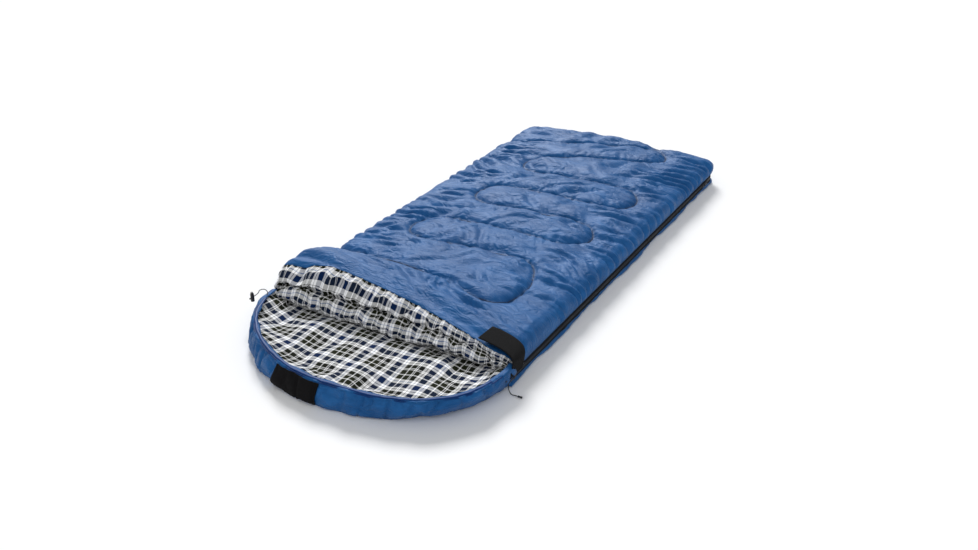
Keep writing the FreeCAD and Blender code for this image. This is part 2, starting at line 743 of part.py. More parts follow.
def make_loop_patch():
    """The other half of the fastening, on the outside of the rim's right end."""
    low, high = "tab_low + patch_margin", "tab_low + patch_margin + patch_height"
    ring = oval_ring("loop_patch_strip", "-patch_thickness", "patch_thickness", low, high,
                     rim_region("loop_patch_end"))
    region = block("loop_patch_region", ("0", f"{SHOULDER} - loop_patch_reach", low),
                   ("bag_width", SHOULDER, high))
    return common("loop_patch", ring, region)


# ---------------------------------------------------------------- cords and the cord lock

def cord(label, route):
    """A limp tube along straight runs joined by tangent arcs, as large as the runs allow."""
    points = [FreeCAD.Vector(*point) for point in route]
    radius = value("cord_diameter") / 2
    edges = []
    start = points[0]
    radii = []
    for before, corner, after in zip(points, points[1:], points[2:]):
        into = (corner - before).normalize()
        out = (after - corner).normalize()
        turn = into.getAngle(out)
        reach = ARC_SHARE * min((corner - before).Length, (after - corner).Length)
        radii.append(reach / math.tan(turn / 2))
        arc_start = corner - into * reach
        arc_end = corner + out * reach
        middle = corner + (out - into).normalize() * radii[-1] * (1 / math.cos(turn / 2) - 1)
        edges.append(Part.LineSegment(start, arc_start).toShape())
        edges.append(Part.Arc(arc_start, middle, arc_end).toShape())
        start = arc_end
    edges.append(Part.LineSegment(start, points[-1]).toShape())
    spine = Part.Wire(edges)
    section = Part.Wire(Part.Circle(points[0], points[1] - points[0], radius).toShape())
    tube = doc.addObject("Part::Feature", label)
    tube.Shape = spine.makePipeShell([section], True, True)
    tube.Placement = FreeCAD.Placement()
    expected = math.pi * radius ** 2 * spine.Length
    print(f"{label}: length {spine.Length:.1f}, radii {[round(r, 1) for r in radii]},",
          f"volume {tube.Shape.Volume:.1f} of {expected:.1f}")
    return tube


def make_cords():
    drawcord_tail = cord("drawcord_tail", DRAWCORD_ROUTE)
    end = DRAWCORD_ROUTE[-1]
    knot = doc.addObject("Part::Sphere", "knot_ball")
    knot.setExpression("Radius", bound("knot_radius"))
    knot.Placement.Base = FreeCAD.Vector(*end)
    drawcord_knot = cut("drawcord_knot", knot, drawcord_tail)
    pull_cord = cord("head_pull_cord", PULL_CORD_ROUTE)
    x, y, z = PULL_CORD_ROUTE[-1]
    pull_cord_grip = rod("pull_cord_grip", (x, y, z), (1, 0, 0), "grip_radius", "grip_length")
    return [drawcord_tail, drawcord_knot, pull_cord, pull_cord_grip]


def make_cord_lock():
    """A barrel lock: the drawcord crosses the barrel and its sprung button."""
    x, y, z = LOCK_PLACE
    foot = f"({z} - lock_length / 2)"
    top = f"({z} + lock_length / 2)"
    up = (0, 0, 1)
    barrel = rod("lock_barrel", (x, y, foot), up, "lock_radius", "lock_length")
    bore = rod("lock_bore_hole", (x, y, f"{foot} + lock_wall"), up, "lock_bore", "lock_length")
    hole = rod("lock_cord_hole", (x, f"{y} - 2 * lock_radius", z), (0, 1, 0),
               "cord_diameter / 2 + cord_clearance", "4 * lock_radius")
    cord_lock_barrel = cut("cord_lock_barrel", barrel, bore, hole)
    seat = f"({z} - cord_diameter / 2 - button_travel - lock_wall)"
    button = rod("button_blank", (x, y, seat), up, "lock_bore - button_clearance",
                 f"{top} + button_reach - {seat}")
    half_slot = "(cord_diameter / 2 + cord_clearance)"
    slot = block("button_slot", (f"{x} - {half_slot}", f"{y} - lock_bore", f"{z} - {half_slot}"),
                 (f"{x} + {half_slot}", f"{y} + lock_bore", f"{z} + {half_slot} + button_travel"))
    cord_lock_button = cut("cord_lock_button", button, slot)
    spring_height = f"{seat} - ({foot} + lock_wall)"
    coil = rod("spring_outer", (x, y, f"{foot} + lock_wall"), up,
               "lock_bore - 2 * button_clearance", spring_height)
    hollow = rod("spring_inner", (x, y, f"{foot} + lock_wall / 2"), up,
                 "lock_bore - 4 * button_clearance", f"{spring_height} + 2 * lock_wall")
    cord_lock_spring = cut("cord_lock_spring", coil, hollow)
    return [cord_lock_barrel, cord_lock_button, cord_lock_spring]


# ---------------------------------------------------------------- the whole bag

def make_all():
    parts = make_base() + [make_fold_gusset(), make_hang_loops()]
    parts += make_quilt() + make_head_roll()
    parts += [make_side_hems(), make_draft_collar(), make_draft_tube()]
    parts += make_zip() + make_zip_stops()
    head_place = f"({SHOULDER} + head_slider_inset)"
    foot_place = f"({FOOT} - foot_slider_inset)"
    for name, place, way in (("head", head_place, -1), ("foot", foot_place, 1)):
        slider, pin = make_slider(name, place, way)
        pull, tip = make_pull(name, pin, way)
        parts += slider + [pull]
    parts.append(make_foot_grip(pin, tip))
    parts += make_hood() + make_rim() + make_drawcord_tunnel() + [make_eyelet(), make_label()]
    parts += make_tab() + [make_loop_patch()] + make_cords() + make_cord_lock()
    return parts


def write(parts):
    """Check every object, then write each piece to its own file."""
    doc.recompute()
    broken = [item.Name for item in doc.Objects if {"Invalid", "Error"} & set(item.State)]
    if broken:
        raise RuntimeError(f"failed objects: {broken}")
    os.makedirs("parts", exist_ok=True)
    for part in parts:
        if part.Shape.isNull() or not part.Shape.isValid():
            raise RuntimeError(f"{part.Label} has no valid shape")
        part.Shape.exportStep(f"parts/{part.Label}.step")
    print(len(parts), "pieces")


write(make_all())
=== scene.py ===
import bpy
import math
import numpy as np
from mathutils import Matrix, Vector, bvhtree, kdtree


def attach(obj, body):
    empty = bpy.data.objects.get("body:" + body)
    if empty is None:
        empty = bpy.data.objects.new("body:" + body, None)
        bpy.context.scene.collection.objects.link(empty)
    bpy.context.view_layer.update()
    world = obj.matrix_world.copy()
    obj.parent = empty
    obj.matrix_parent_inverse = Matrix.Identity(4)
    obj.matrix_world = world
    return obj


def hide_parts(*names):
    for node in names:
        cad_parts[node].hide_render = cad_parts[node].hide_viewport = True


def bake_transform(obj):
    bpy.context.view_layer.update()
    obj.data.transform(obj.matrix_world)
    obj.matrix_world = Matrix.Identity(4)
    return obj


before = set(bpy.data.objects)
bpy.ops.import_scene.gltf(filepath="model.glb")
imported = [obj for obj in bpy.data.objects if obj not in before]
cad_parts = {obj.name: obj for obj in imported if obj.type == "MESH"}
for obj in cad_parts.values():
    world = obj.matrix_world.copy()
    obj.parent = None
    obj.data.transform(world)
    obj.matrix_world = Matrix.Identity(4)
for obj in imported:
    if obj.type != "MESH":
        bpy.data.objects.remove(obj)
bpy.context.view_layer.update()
scene = bpy.context.scene

# ---------------------------------------------------------------- view and studio
# The bag lies on a pale studio floor under a broad sun from behind the foot, a weaker and
# softer one from the camera's side, and an even sky. The camera looks down from beyond the hood.


def add_object(name, data, *materials):
    """An object for the new data, in the scene and with its materials."""
    for material in materials:
        data.materials.append(material)
    made = bpy.data.objects.new(name, data)
    scene.collection.objects.link(made)
    return made


camera_data = bpy.data.cameras.new("camera")
camera_data.lens = 36.63
camera_data.sensor_width = 36
camera = add_object("camera", camera_data)
camera.location = (1.693, -3.025, 1.758)
looked_at = Vector((0.090, -0.255, 0.05))
camera.rotation_euler = (looked_at - camera.location).to_track_quat("-Z", "Y").to_euler()
scene.camera = camera

world = bpy.data.worlds.new("studio")
world.use_nodes = True
surround = world.node_tree.nodes["Background"]
surround.inputs["Color"].default_value = (0.95, 0.97, 1.0, 1)
surround.inputs["Strength"].default_value = 0.42
scene.world = world
scene.view_settings.view_transform = "Standard"

for lamp_name, lamp_place, lamp_power, lamp_spread in (("key_lamp", (-1.2, 1.55, 1.5), 2.6, 20),
                                                       ("fill_lamp", (1.3, -2.0, 2.4), 0.7, 60)):
    lamp_data = bpy.data.lights.new(lamp_name, "SUN")
    lamp_data.energy = lamp_power
    lamp_data.angle = math.radians(lamp_spread)
    lamp = add_object(lamp_name, lamp_data)
    lamp.location = lamp_place
    lamp.rotation_euler = (-lamp.location).to_track_quat("-Z", "Y").to_euler()

bpy.ops.object.select_all(action="DESELECT")
bpy.ops.mesh.primitive_plane_add(size=200, location=(0, 0, -0.0005))
floor = bpy.context.object
floor.name = "studio_floor"
floor_paint = bpy.data.materials.new("floor_paint")
floor_paint.use_nodes = True
floor_shader = floor_paint.node_tree.nodes["Principled BSDF"]
floor_shader.inputs["Base Color"].default_value = (0.96, 0.96, 0.96, 1)
floor_shader.inputs["Roughness"].default_value = 0.9
floor.data.materials.append(floor_paint)

# ---------------------------------------------------------------- hood drawcord
# A round braided black cord, 3 mm thick, that comes out of the tunnel's left end, loops back
# through its sprung lock and ends in a knot. The lock's barrel and button are moulded.


def colour(red, green, blue):
    """A colour given in 0 to 255 steps, as the shaders want it."""
    return [((c / 255 + 0.055) / 1.055) ** 2.4 if c > 10 else c / 255 / 12.92
            for c in (red, green, blue)] + [1.0]


def node(tree, kind, inputs=None, **settings):
    """A shader node with its settings, and each input either a value or another node's output."""
    made = tree.nodes.new(kind)
    for name, setting in settings.items():
        setattr(made, name, setting)
    for name, given in (inputs or {}).items():
        if isinstance(given, bpy.types.NodeSocket):
            tree.links.new(given, made.inputs[name])
        else:
            made.inputs[name].default_value = given
    return made


def surface(name, **plain):
    """A new material: its node tree and its Principled shader with the plain values set."""
    material = bpy.data.materials.new(name)
    material.use_nodes = True
    shader = material.node_tree.nodes["Principled BSDF"]
    for socket, value in plain.items():
        shader.inputs[socket.replace("_", " ")].default_value = value
    return material, material.node_tree, shader


def maths(tree, operation, *given):
    """The result of one arithmetic step on values or other nodes' outputs."""
    return node(tree, "ShaderNodeMath", dict(enumerate(given)), operation=operation).outputs[0]


def noise(tree, place, scale, detail=4.0, **more):
    """A cloudy pattern from 0 to 1."""
    given = {"Vector": place, "Scale": scale, "Detail": detail, **more}
    return node(tree, "ShaderNodeTexNoise", given).outputs["Fac"]


def wave(tree, place, scale, way, **more):
    """Bands from 0 to 1 across one direction."""
    given = {"Vector": place, "Scale": scale, **more}
    return node(tree, "ShaderNodeTexWave", given, bands_direction=way).outputs["Fac"]


def ranged(tree, value, low, high):
    """A pattern brought to run from low to high."""
    return node(tree, "ShaderNodeMapRange", {"Value": value, "To Min": low, "To Max": high}).outputs[0]


def mixed(tree, factor, low, high):
    """A colour between two others."""
    return node(tree, "ShaderNodeMix", {"Factor": factor, 6: low, 7: high}, data_type="RGBA").outputs[2]


def add_bump(tree, shader, height, depth):
    """Bump of the given depth in metres."""
    bump = node(tree, "ShaderNodeBump", {"Height": height, "Distance": depth})
    tree.links.new(bump.outputs["Normal"], shader.inputs["Normal"])


def finish_mix(tree, shader, low, high, factor, height, depth):
    """Base colour between two colours by a mask, and a bump of the given depth in metres."""
    tree.links.new(mixed(tree, factor, low, high), shader.inputs["Base Color"])
    add_bump(tree, shader, height, depth)


def node_group(name, control, **results):
    """A shared group with one number going in: the group, that number and its output sockets."""
    group = bpy.data.node_groups.new(name, "ShaderNodeTree")
    group.interface.new_socket(control, in_out="INPUT", socket_type="NodeSocketFloat")
    for result, kind in results.items():
        group.interface.new_socket(result, in_out="OUTPUT", socket_type="NodeSocket" + kind)
    given = group.nodes.new("NodeGroupInput").outputs[control]
    return group, given, group.nodes.new("NodeGroupOutput").inputs


cord_black, tree, shader = surface("braided_cord", Roughness=0.78, Sheen_Weight=0.15)
cord_place = node(tree, "ShaderNodeTexCoord").outputs["Object"]
plait = wave(tree, cord_place, 420.0, "DIAGONAL", Distortion=2.0, Detail=1.0)
finish_mix(tree, shader, colour(12, 12, 14), colour(44, 44, 48), plait, plait, 0.0003)

grain, grain_size, grain_out = node_group("moulding_grain", "Size", Mask="Float", Height="Float")
grain_place = node(grain, "ShaderNodeTexCoord").outputs["Object"]
grain.links.new(noise(grain, grain_place, 60.0), grain_out["Mask"])
grain.links.new(noise(grain, grain_place, grain_size, 3.0), grain_out["Height"])


def hard_surface(name, low, high, size, depth, **plain):
    """Moulded or metal finish: smeared shade and fine grain from the shared group."""
    material, tree, shader = surface(name, **plain)
    group = node(tree, "ShaderNodeGroup", {"Size": size}, node_tree=grain)
    finish_mix(tree, shader, low, high, group.outputs["Mask"], group.outputs["Height"], depth)
    tree.links.new(ranged(tree, group.outputs["Mask"], 0.28, 0.55), shader.inputs["Roughness"])
    return material


black_plastic = hard_surface("moulded_black", colour(14, 14, 16), colour(36, 36, 40), 900.0, 0.0001)
dark_metal = hard_surface("blackened_metal", colour(30, 30, 33), colour(84, 84, 88), 700.0, 0.00006,
                          Metallic=0.85)
spring_metal = hard_surface("spring_steel", colour(120, 120, 124), colour(180, 180, 184), 700.0,
                            0.00003, Metallic=1.0)


def repaint(nodes, material):
    """Give carried-over hard pieces their finish."""
    for name in nodes:
        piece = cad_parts[name]
        piece.data.materials.clear()
        piece.data.materials.append(material)


def lay_cord(name, route, diameter, closed=False, sides=3, steps=8):
    """A cord along one smooth curve whose control points are the route's."""
    curve = bpy.data.curves.new(name, "CURVE")
    curve.dimensions = "3D"
    curve.bevel_depth = diameter / 2
    curve.bevel_resolution = sides
    curve.resolution_u = steps
    curve.use_fill_caps = not closed
    line = curve.splines.new("NURBS")
    line.points.add(len(route) - 1)
    for point, place in zip(line.points, route):
        point.co = (*place, 1)
    line.order_u = 3
    line.use_endpoint_u = not closed
    line.use_cyclic_u = closed
    return add_object(name, curve, cord_black)


drawcord_route = [(-0.4544, -0.843, 0.082), (-0.460, -0.826, 0.085), (-0.470, -0.811, 0.089),
                  (-0.484, -0.802, 0.091), (-0.498, -0.803, 0.091), (-0.505, -0.816, 0.090),
                  (-0.492, -0.833, 0.089), (-0.492, -0.876, 0.089)]
drawcord = lay_cord("hood_drawcord_end", drawcord_route, 0.003)
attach(drawcord, "hood")
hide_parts("drawcord_tail")

KNOT_TURNS, KNOT_X, KNOT_Y, KNOT_Z = 14, -0.492, -0.8755, 0.089
knot_route = []
for number in range(KNOT_TURNS):
    turn = math.tau * number / KNOT_TURNS
    reach = 0.0016 + 0.0007 * math.cos(3 * turn)
    knot_route.append((KNOT_X + reach * math.cos(2 * turn), KNOT_Y + 0.0016 * math.sin(3 * turn),
                       KNOT_Z + reach * math.sin(2 * turn)))
knot = lay_cord("drawcord_end_knot", knot_route, 0.0026, closed=True, sides=2, steps=12)
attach(knot, "hood")
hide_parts("drawcord_knot")
repaint(["cord_lock_barrel", "cord_lock_button"], black_plastic)
repaint(["cord_lock_spring", "drawcord_eyelet"], spring_metal)

# ---------------------------------------------------------------- zip pull cord
# A short black cord on the head slider's pull, with a moulded grip pressed on its end.

pull_route = [(0.4756, -0.7916, 0.030), (0.4756, -0.804, 0.030), (0.482, -0.815, 0.024),
              (0.489, -0.820, 0.013), (0.497, -0.820, 0.005), (0.507, -0.816, 0.004),
              (0.517, -0.816, 0.004)]
pull_cord = lay_cord("head_pull_cord_line", pull_route, 0.003)
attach(pull_cord, "head_pull")
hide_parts("head_pull_cord")


GRIP_Y, GRIP_Z, WAIST = -0.816, 0.004, (0.522, 0.526)
bpy.ops.object.select_all(action="DESELECT")
bpy.ops.mesh.primitive_cylinder_add(vertices=24, radius=0.0036, depth=0.014,
                                    location=(0.524, GRIP_Y, GRIP_Z), rotation=(0, math.pi / 2, 0))
pull_grip = bpy.context.object
pull_grip.name = pull_grip.data.name = "pull_cord_end_grip"
bpy.ops.object.mode_set(mode="EDIT")
for waist_x in WAIST:
    bpy.ops.mesh.select_all(action="SELECT")
    bpy.ops.mesh.bisect(plane_co=(waist_x, 0, 0), plane_no=(1, 0, 0))
bpy.ops.object.mode_set(mode="OBJECT")
bpy.ops.object.transform_apply(location=True, rotation=True, scale=True)
bpy.ops.object.shade_smooth_by_angle(angle=math.radians(40))
for vertex in pull_grip.data.vertices:
    girth = 0.78 if WAIST[0] - 0.001 < vertex.co.x < WAIST[1] + 0.001 else 1.0
    vertex.co.y = GRIP_Y + (vertex.co.y - GRIP_Y) * girth
    vertex.co.z = GRIP_Z + (vertex.co.z - GRIP_Z) * girth
grip_bevel = pull_grip.modifiers.new("rounded", "BEVEL")
grip_bevel.width = 0.0006
grip_bevel.segments = 2
bpy.ops.object.modifier_apply(modifier="rounded")
pull_grip.data.materials.append(black_plastic)
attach(pull_grip, "head_pull")
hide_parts("pull_cord_grip")

# ---------------------------------------------------------------- base shell
# The back panel's cover: blue polyester taffeta, cut with rounded foot corners, turned up
# round the filling and sewn to the lining along its top edge.

HALF, HEAD, FOOT, CORNER = 0.468, -0.7746, 1.133, 0.060


def ripple(x, y, size, seed):
    """A smooth, fixed unevenness of about the given wavelength, between about -1 and 1."""
    chance = np.random.default_rng(seed)
    total = 0
    for _ in range(8):
        heading = chance.uniform(0, math.tau)
        wave = math.tau / (size * chance.uniform(0.6, 1.5))
        total = total + np.sin(wave * (x * math.cos(heading) + y * math.sin(heading))
                               + chance.uniform(0, math.tau))
    return total / 3.2


def cloth_panel(name, points, flat, material, faces_down=False):
    """A panel of cloth from rows and columns of points, with its cut coordinates as its UV map."""
    rows, columns = points.shape[:2]
    index = np.arange(rows * columns).reshape(rows, columns)
    corners = [index[:-1, :-1], index[:-1, 1:], index[1:, 1:], index[1:, :-1]]
    if faces_down:
        corners.reverse()
    faces = np.stack(corners, axis=-1).reshape(-1, 4)
    mesh = bpy.data.meshes.new(name)
    mesh.from_pydata(points.reshape(-1, 3).tolist(), [], faces.tolist())
    cut = mesh.uv_layers.new(name="UVMap")
    cut.data.foreach_set("uv", flat.reshape(-1, 2)[faces.reshape(-1)].astype(np.float32).reshape(-1))
    mesh.polygons.foreach_set("use_smooth", [True] * len(faces))
    return add_object(name, mesh, material)


def pick(piece):
    """Make this the one selected object, and the active one."""
    bpy.ops.object.select_all(action="DESELECT")
    piece.select_set(True)
    bpy.context.view_layer.objects.active = piece


def thicken(piece, thickness, offset=-1.0):
    """Give a panel the cloth's thickness; by default its outer side stays in place."""
    solid = piece.modifiers.new("cloth_thickness", "SOLIDIFY")
    solid.thickness = thickness
    solid.offset = offset
    pick(piece)
    bpy.ops.object.modifier_apply(modifier="cloth_thickness")


def close_up(piece, hole_sides=None):
    """Weld a panel's meeting edges, cap its open ends and turn its faces outwards."""
    pick(piece)
    bpy.ops.object.mode_set(mode="EDIT")
    bpy.ops.mesh.select_all(action="SELECT")
    bpy.ops.mesh.remove_doubles(threshold=0.00001)
    if hole_sides:
        bpy.ops.mesh.select_all(action="SELECT")
        bpy.ops.mesh.fill_holes(sides=hole_sides)
    else:
        bpy.ops.mesh.select_all(action="DESELECT")
        bpy.ops.mesh.select_mode(type="EDGE")
        bpy.ops.mesh.select_non_manifold()
        bpy.ops.mesh.edge_face_add()
    bpy.ops.mesh.select_all(action="SELECT")
    bpy.ops.mesh.normals_make_consistent(inside=False)
    bpy.ops.object.mode_set(mode="OBJECT")


taffeta, thread, taffeta_out = node_group("taffeta_weave", "Thread", Mask="Float", Height="Float")
taffeta_cut = node(taffeta, "ShaderNodeTexCoord").outputs["UV"]
weave_height = maths(taffeta, "MULTIPLY", wave(taffeta, taffeta_cut, thread, "X"),
                     wave(taffeta, taffeta_cut, thread, "Y"))
long_cut = node(taffeta, "ShaderNodeMapping", {"Vector": taffeta_cut, "Scale": (1.0, 1.9, 1.0)})
crumple = noise(taffeta, long_cut.outputs["Vector"], 15.0, 2.5, Roughness=0.5, Distortion=0.9)
ridge = maths(taffeta, "ABSOLUTE", maths(taffeta, "SUBTRACT", crumple, 0.5))
patches = noise(taffeta, taffeta_cut, 7.0)
# Colour mask: random patches, the cloth's own uneven tone, plus the crease ridges, so that the creases'
# valleys come out darker as painted shade.
taffeta.links.new(maths(taffeta, "ADD", patches, ridge), taffeta_out["Mask"])
taffeta.links.new(maths(taffeta, "ADD", maths(taffeta, "MULTIPLY", ridge, 2.4),
                        maths(taffeta, "MULTIPLY", weave_height, 0.03)), taffeta_out["Height"])


def woven_surface(name, low, high, thread_count, depth, roughness=0.9, gloss=0.2):
    """Woven polyester in two shades, with the shared weave and small creases; its colour varies at random
    and carries painted shade in the creases' valleys.
    """
    material, tree, shader = surface(name, Roughness=roughness, Specular_IOR_Level=gloss)
    weave = node(tree, "ShaderNodeGroup", {"Thread": thread_count}, node_tree=taffeta)
    finish_mix(tree, shader, low, high, weave.outputs["Mask"], weave.outputs["Height"], depth)
    return material


def taffeta_surface(name, low, high, depth):
    """Slightly glossy taffeta, with painted shade along its sunk quilting seams."""
    material = woven_surface(name, low, high, 400.0, depth, roughness=0.45, gloss=0.32)
    tree = material.node_tree
    shader = tree.nodes["Principled BSDF"]
    shader.inputs["Specular Tint"].default_value = colour(135, 185, 250)
    # Painted shade: the cloth's colour is pulled towards dark navy along the quilting seams, standing in
    # for the shade in their grooves.
    seam = node(tree, "ShaderNodeAttribute", attribute_name="painted_seam_shade")
    cloth_colour = shader.inputs["Base Color"].links[0].from_socket
    shaded = mixed(tree, maths(tree, "MULTIPLY", seam.outputs["Fac"], 0.7), cloth_colour,
                   colour(6, 22, 54))
    tree.links.new(shaded, shader.inputs["Base Color"])
    return material


shell_blue = taffeta_surface("shell_taffeta", colour(8, 57, 108), colour(40, 101, 162), 0.0040)
binding_blue = taffeta_surface("binding_tape", colour(5, 34, 84), colour(16, 54, 114), 0.001)
OUTLINE_STEP = 0.012


def bag_outline(step):
    """The back panel's outline, anticlockwise: square at the head, rounded at the foot."""
    count = round((FOOT - CORNER - HEAD) / step)
    side = [(HALF, HEAD + (FOOT - CORNER - HEAD) * i / count) for i in range(count)]
    turn = [(HALF - CORNER + CORNER * math.cos(a), FOOT - CORNER + CORNER * math.sin(a))
            for a in np.linspace(0, math.pi / 2, 9)[:-1]]
    across = round((HALF - CORNER) / step)
    end = [((HALF - CORNER) * (1 - i / across), FOOT) for i in range(across)]
    right = side + turn + end
    left = [(-x, y) for x, y in reversed(right[1:])]
    head_count = round(2 * HALF / step)
    front = [(-HALF + 2 * HALF * i / head_count, HEAD) for i in range(head_count)]
    return np.array(right + left + front)


base_profile = [(0.020, 0.0), (0.005, 0.0), (-0.003, 0.003), (-0.0065, 0.008), (-0.0045, 0.013),
                (0.003, 0.018), (0.005, 0.029), (0.008, 0.035), (0.012, 0.037), (0.030, 0.030)]
outer_line = bag_outline(OUTLINE_STEP)
outer_x, outer_y = outer_line.T
centre = np.stack([np.clip(outer_x, -HALF + CORNER, HALF - CORNER),
                   np.clip(outer_y, HEAD + CORNER, FOOT - CORNER)], axis=1)
away = outer_line - centre
square_end = outer_y < HEAD + CORNER
away[:, 0] = np.where(square_end & (np.abs(outer_x) < HALF - 1e-6), 0, away[:, 0])
length = np.where(square_end, np.maximum(np.abs(away).max(axis=1), 1e-9),
                  np.hypot(away[:, 0], away[:, 1]))
outwards = away / length[:, None]
base_points = []
base_cut = []
for inset, height in base_profile:
    slack = 0.0012 * ripple(outer_x, outer_y, 0.05, 3) * (inset < 0.02) \
        - 0.004 * ripple(outer_x, outer_y, 0.16, 4) * (inset < 0)
    ring = outer_line - outwards * (inset + slack)[:, None]
    lift = np.full(len(ring), height)
    ring = np.column_stack([ring, lift])
    cut = np.column_stack([np.arange(len(ring)) * OUTLINE_STEP, lift + inset])
    base_points.append(np.vstack([ring, ring[:1]]))
    base_cut.append(np.vstack([cut, cut[-1:] + [[OUTLINE_STEP, 0]]]))
base_cover = cloth_panel("base_cover", np.array(base_points), np.array(base_cut), shell_blue)
close_up(base_cover)
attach(base_cover, "base")
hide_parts("base_shell", "base_fill")

# ---------------------------------------------------------------- base lining
# Brushed cotton-and-polyester check, quilted through to the filling along one snaking line
# that is given here by its stations. PLATEAU and PLATEAU_END bound the panels' middle.

SHELL_CLOTH, LINING_CLOTH = 0.001, 0.0008
PLATEAU, PLATEAU_END, CORNER_PULL = 0.400, 1.065, 0.014
LINING_LEVEL = 0.040
SNAKE = [(-0.445, 0.885), (-0.30, 0.905), (-0.15, 0.945), (0.10, 1.030), (0.22, 1.060),
         (0.286, 0.977), (0.22, 0.885), (0.0, 0.80), (-0.165, 0.725), (-0.235, 0.634),
         (-0.165, 0.545), (0.05, 0.555), (0.28, 0.575), (0.354, 0.475), (0.28, 0.375),
         (0.0, 0.350), (-0.18, 0.345), (-0.252, 0.249), (-0.18, 0.155), (0.05, 0.165),
         (0.265, 0.180), (0.338, 0.083), (0.265, -0.015), (0.0, -0.030), (-0.24, -0.045),
         (-0.313, -0.140), (-0.24, -0.235), (0.0, -0.230), (0.225, -0.215), (0.302, -0.322),
         (0.312, -0.44), (0.257, -0.537), (0.128, -0.516), (-0.012, -0.487), (-0.154, -0.463),
         (-0.298, -0.445), (-0.445, -0.430)]


def smooth_line(stations, step):
    """Points at an even step along a smooth line through the stations."""
    given = np.array(stations, float)
    ends = np.vstack([2 * given[0] - given[1], given, 2 * given[-1] - given[-2]])
    line = []
    for a, b, c, d in zip(ends, ends[1:], ends[2:], ends[3:]):
        for t in np.linspace(0, 1, 24, endpoint=False):
            line.append(0.5 * (2 * b + (c - a) * t + (2 * a - 5 * b + 4 * c - d) * t ** 2
                               + (3 * b - a - 3 * c + d) * t ** 3))
    line = np.array(line + [given[-1]])
    along = np.concatenate([[0], np.cumsum(np.linalg.norm(np.diff(line, axis=0), axis=1))])
    even = np.arange(0, along[-1], step)
    return np.column_stack([np.interp(even, along, line[:, k]) for k in range(line.shape[1])])


SNAKE_STEP = 0.003
snake_line = smooth_line(SNAKE, SNAKE_STEP)
snake_tree = kdtree.KDTree(len(snake_line))
for number, (x, y) in enumerate(snake_line):
    snake_tree.insert((x, y, 0), number)
snake_tree.balance()


def from_snake(x, y):
    """How far each place is from the quilting line, and the line's nearest point and run there."""
    found = [snake_tree.find((a, b, 0)) for a, b in zip(x.ravel(), y.ravel())]
    gap = np.array([f[2] for f in found]).reshape(x.shape)
    index = np.array([f[1] for f in found])
    near = np.dstack([snake_line[index].reshape(x.shape + (2,)), SNAKE_STEP * index.reshape(x.shape)])
    return gap, near


check, repeat, check_out = node_group("woven_check", "Repeat", Colour="Color", Height="Float")
check_cut = node(check, "ShaderNodeTexCoord").outputs["UV"]
check_axes = node(check, "ShaderNodeSeparateXYZ", {"Vector": check_cut})
NAVY, WHITE, SMOKE = colour(2, 32, 74), colour(255, 255, 255), colour(11, 14, 11)
OLIVE, LILAC = colour(26, 30, 12), colour(110, 138, 185)
check_sett = [(NAVY, 22), (WHITE, 8), (LILAC, 2), (WHITE, 9), (OLIVE, 19), (WHITE, 4), (OLIVE, 19),
              (WHITE, 3), (SMOKE, 3), (WHITE, 3), (SMOKE, 18), (WHITE, 9), (SMOKE, 2), (WHITE, 9)]
sett_width = sum(width for _, width in check_sett)
yarns = []
for axis in ("X", "Y"):
    part = maths(check, "FRACT", maths(check, "DIVIDE", check_axes.outputs[axis], repeat))
    stripes = node(check, "ShaderNodeValToRGB", {"Fac": part})
    stops = stripes.color_ramp.elements
    stripes.color_ramp.interpolation = "CONSTANT"
    reached = 0
    for number, (yarn, width) in enumerate(check_sett):
        stop = stops[number] if number < 2 else stops.new(1.0)
        stop.position = reached / sett_width
        stop.color = yarn
        reached += width
    yarns.append(stripes.outputs["Color"])
over = ranged(check, wave(check, check_cut, 330.0, "DIAGONAL"), 0.28, 0.72)
nap = noise(check, check_cut, 260.0)
brushed = node(check, "ShaderNodeVectorMath",
               {0: mixed(check, over, *yarns), "Scale": ranged(check, nap, 0.86, 1.08)},
               operation="SCALE")
check.links.new(brushed.outputs[0], check_out["Colour"])
check.links.new(maths(check, "ADD", noise(check, check_cut, 24.0),
                      maths(check, "MULTIPLY", nap, 0.12)), check_out["Height"])

lining_check, tree, shader = surface("brushed_check", Roughness=0.92, Specular_IOR_Level=0.15)
check_weave = node(tree, "ShaderNodeGroup", {"Repeat": 0.125}, node_tree=check)
tree.links.new(check_weave.outputs["Colour"], shader.inputs["Base Color"])
add_bump(tree, shader, check_weave.outputs["Height"], 0.003)


def flat_lining(name, half, head, foot, rows, corner, height, faces_down=False):
    """A lining cut as one grid, its height given by the place, its foot corners drawn in round."""
    x, y = np.meshgrid(np.linspace(-half, half, 92), np.linspace(head, foot, rows))
    z = height(x, y, from_snake(x, y)[0], np.minimum(half - np.abs(x), foot - y))
    beyond = np.hypot(np.maximum(np.abs(x) - PLATEAU, 0), np.maximum(y - PLATEAU_END, 0))
    corner_pull = np.clip((beyond - corner) / 0.03, 0, 1)
    x = x - np.sign(x) * CORNER_PULL * corner_pull
    y = y - CORNER_PULL * corner_pull
    lining = cloth_panel(name, np.dstack([x, y, z]), np.dstack([x, y]), lining_check, faces_down)
    thicken(lining, LINING_CLOTH)
    return lining


def base_lining_height(x, y, gap, edge):
    """Nearly level, sunk along the quilting and at the edges."""
    return (LINING_LEVEL + 0.0016 * ripple(x, y, 0.09, 5)
            - 0.004 * np.exp(-gap / 0.012) - 0.004 * np.exp(-edge / 0.006))


base_inside = flat_lining("base_inner_lining", 0.458, HEAD, 1.123, 190, 0.056, base_lining_height)
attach(base_inside, "base")
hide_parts("base_lining")

# ---------------------------------------------------------------- zip
# Two black woven tapes with a row of moulded teeth on each. They run from near the head,
# down the right side, round the foot corner and along the foot.

ZIP_LINE = 0.4686
ZIP_START, ZIP_END = -0.755, -0.430
black_tape = woven_surface("woven_tape", colour(5, 8, 13), colour(16, 20, 28), 700.0, 0.0008)


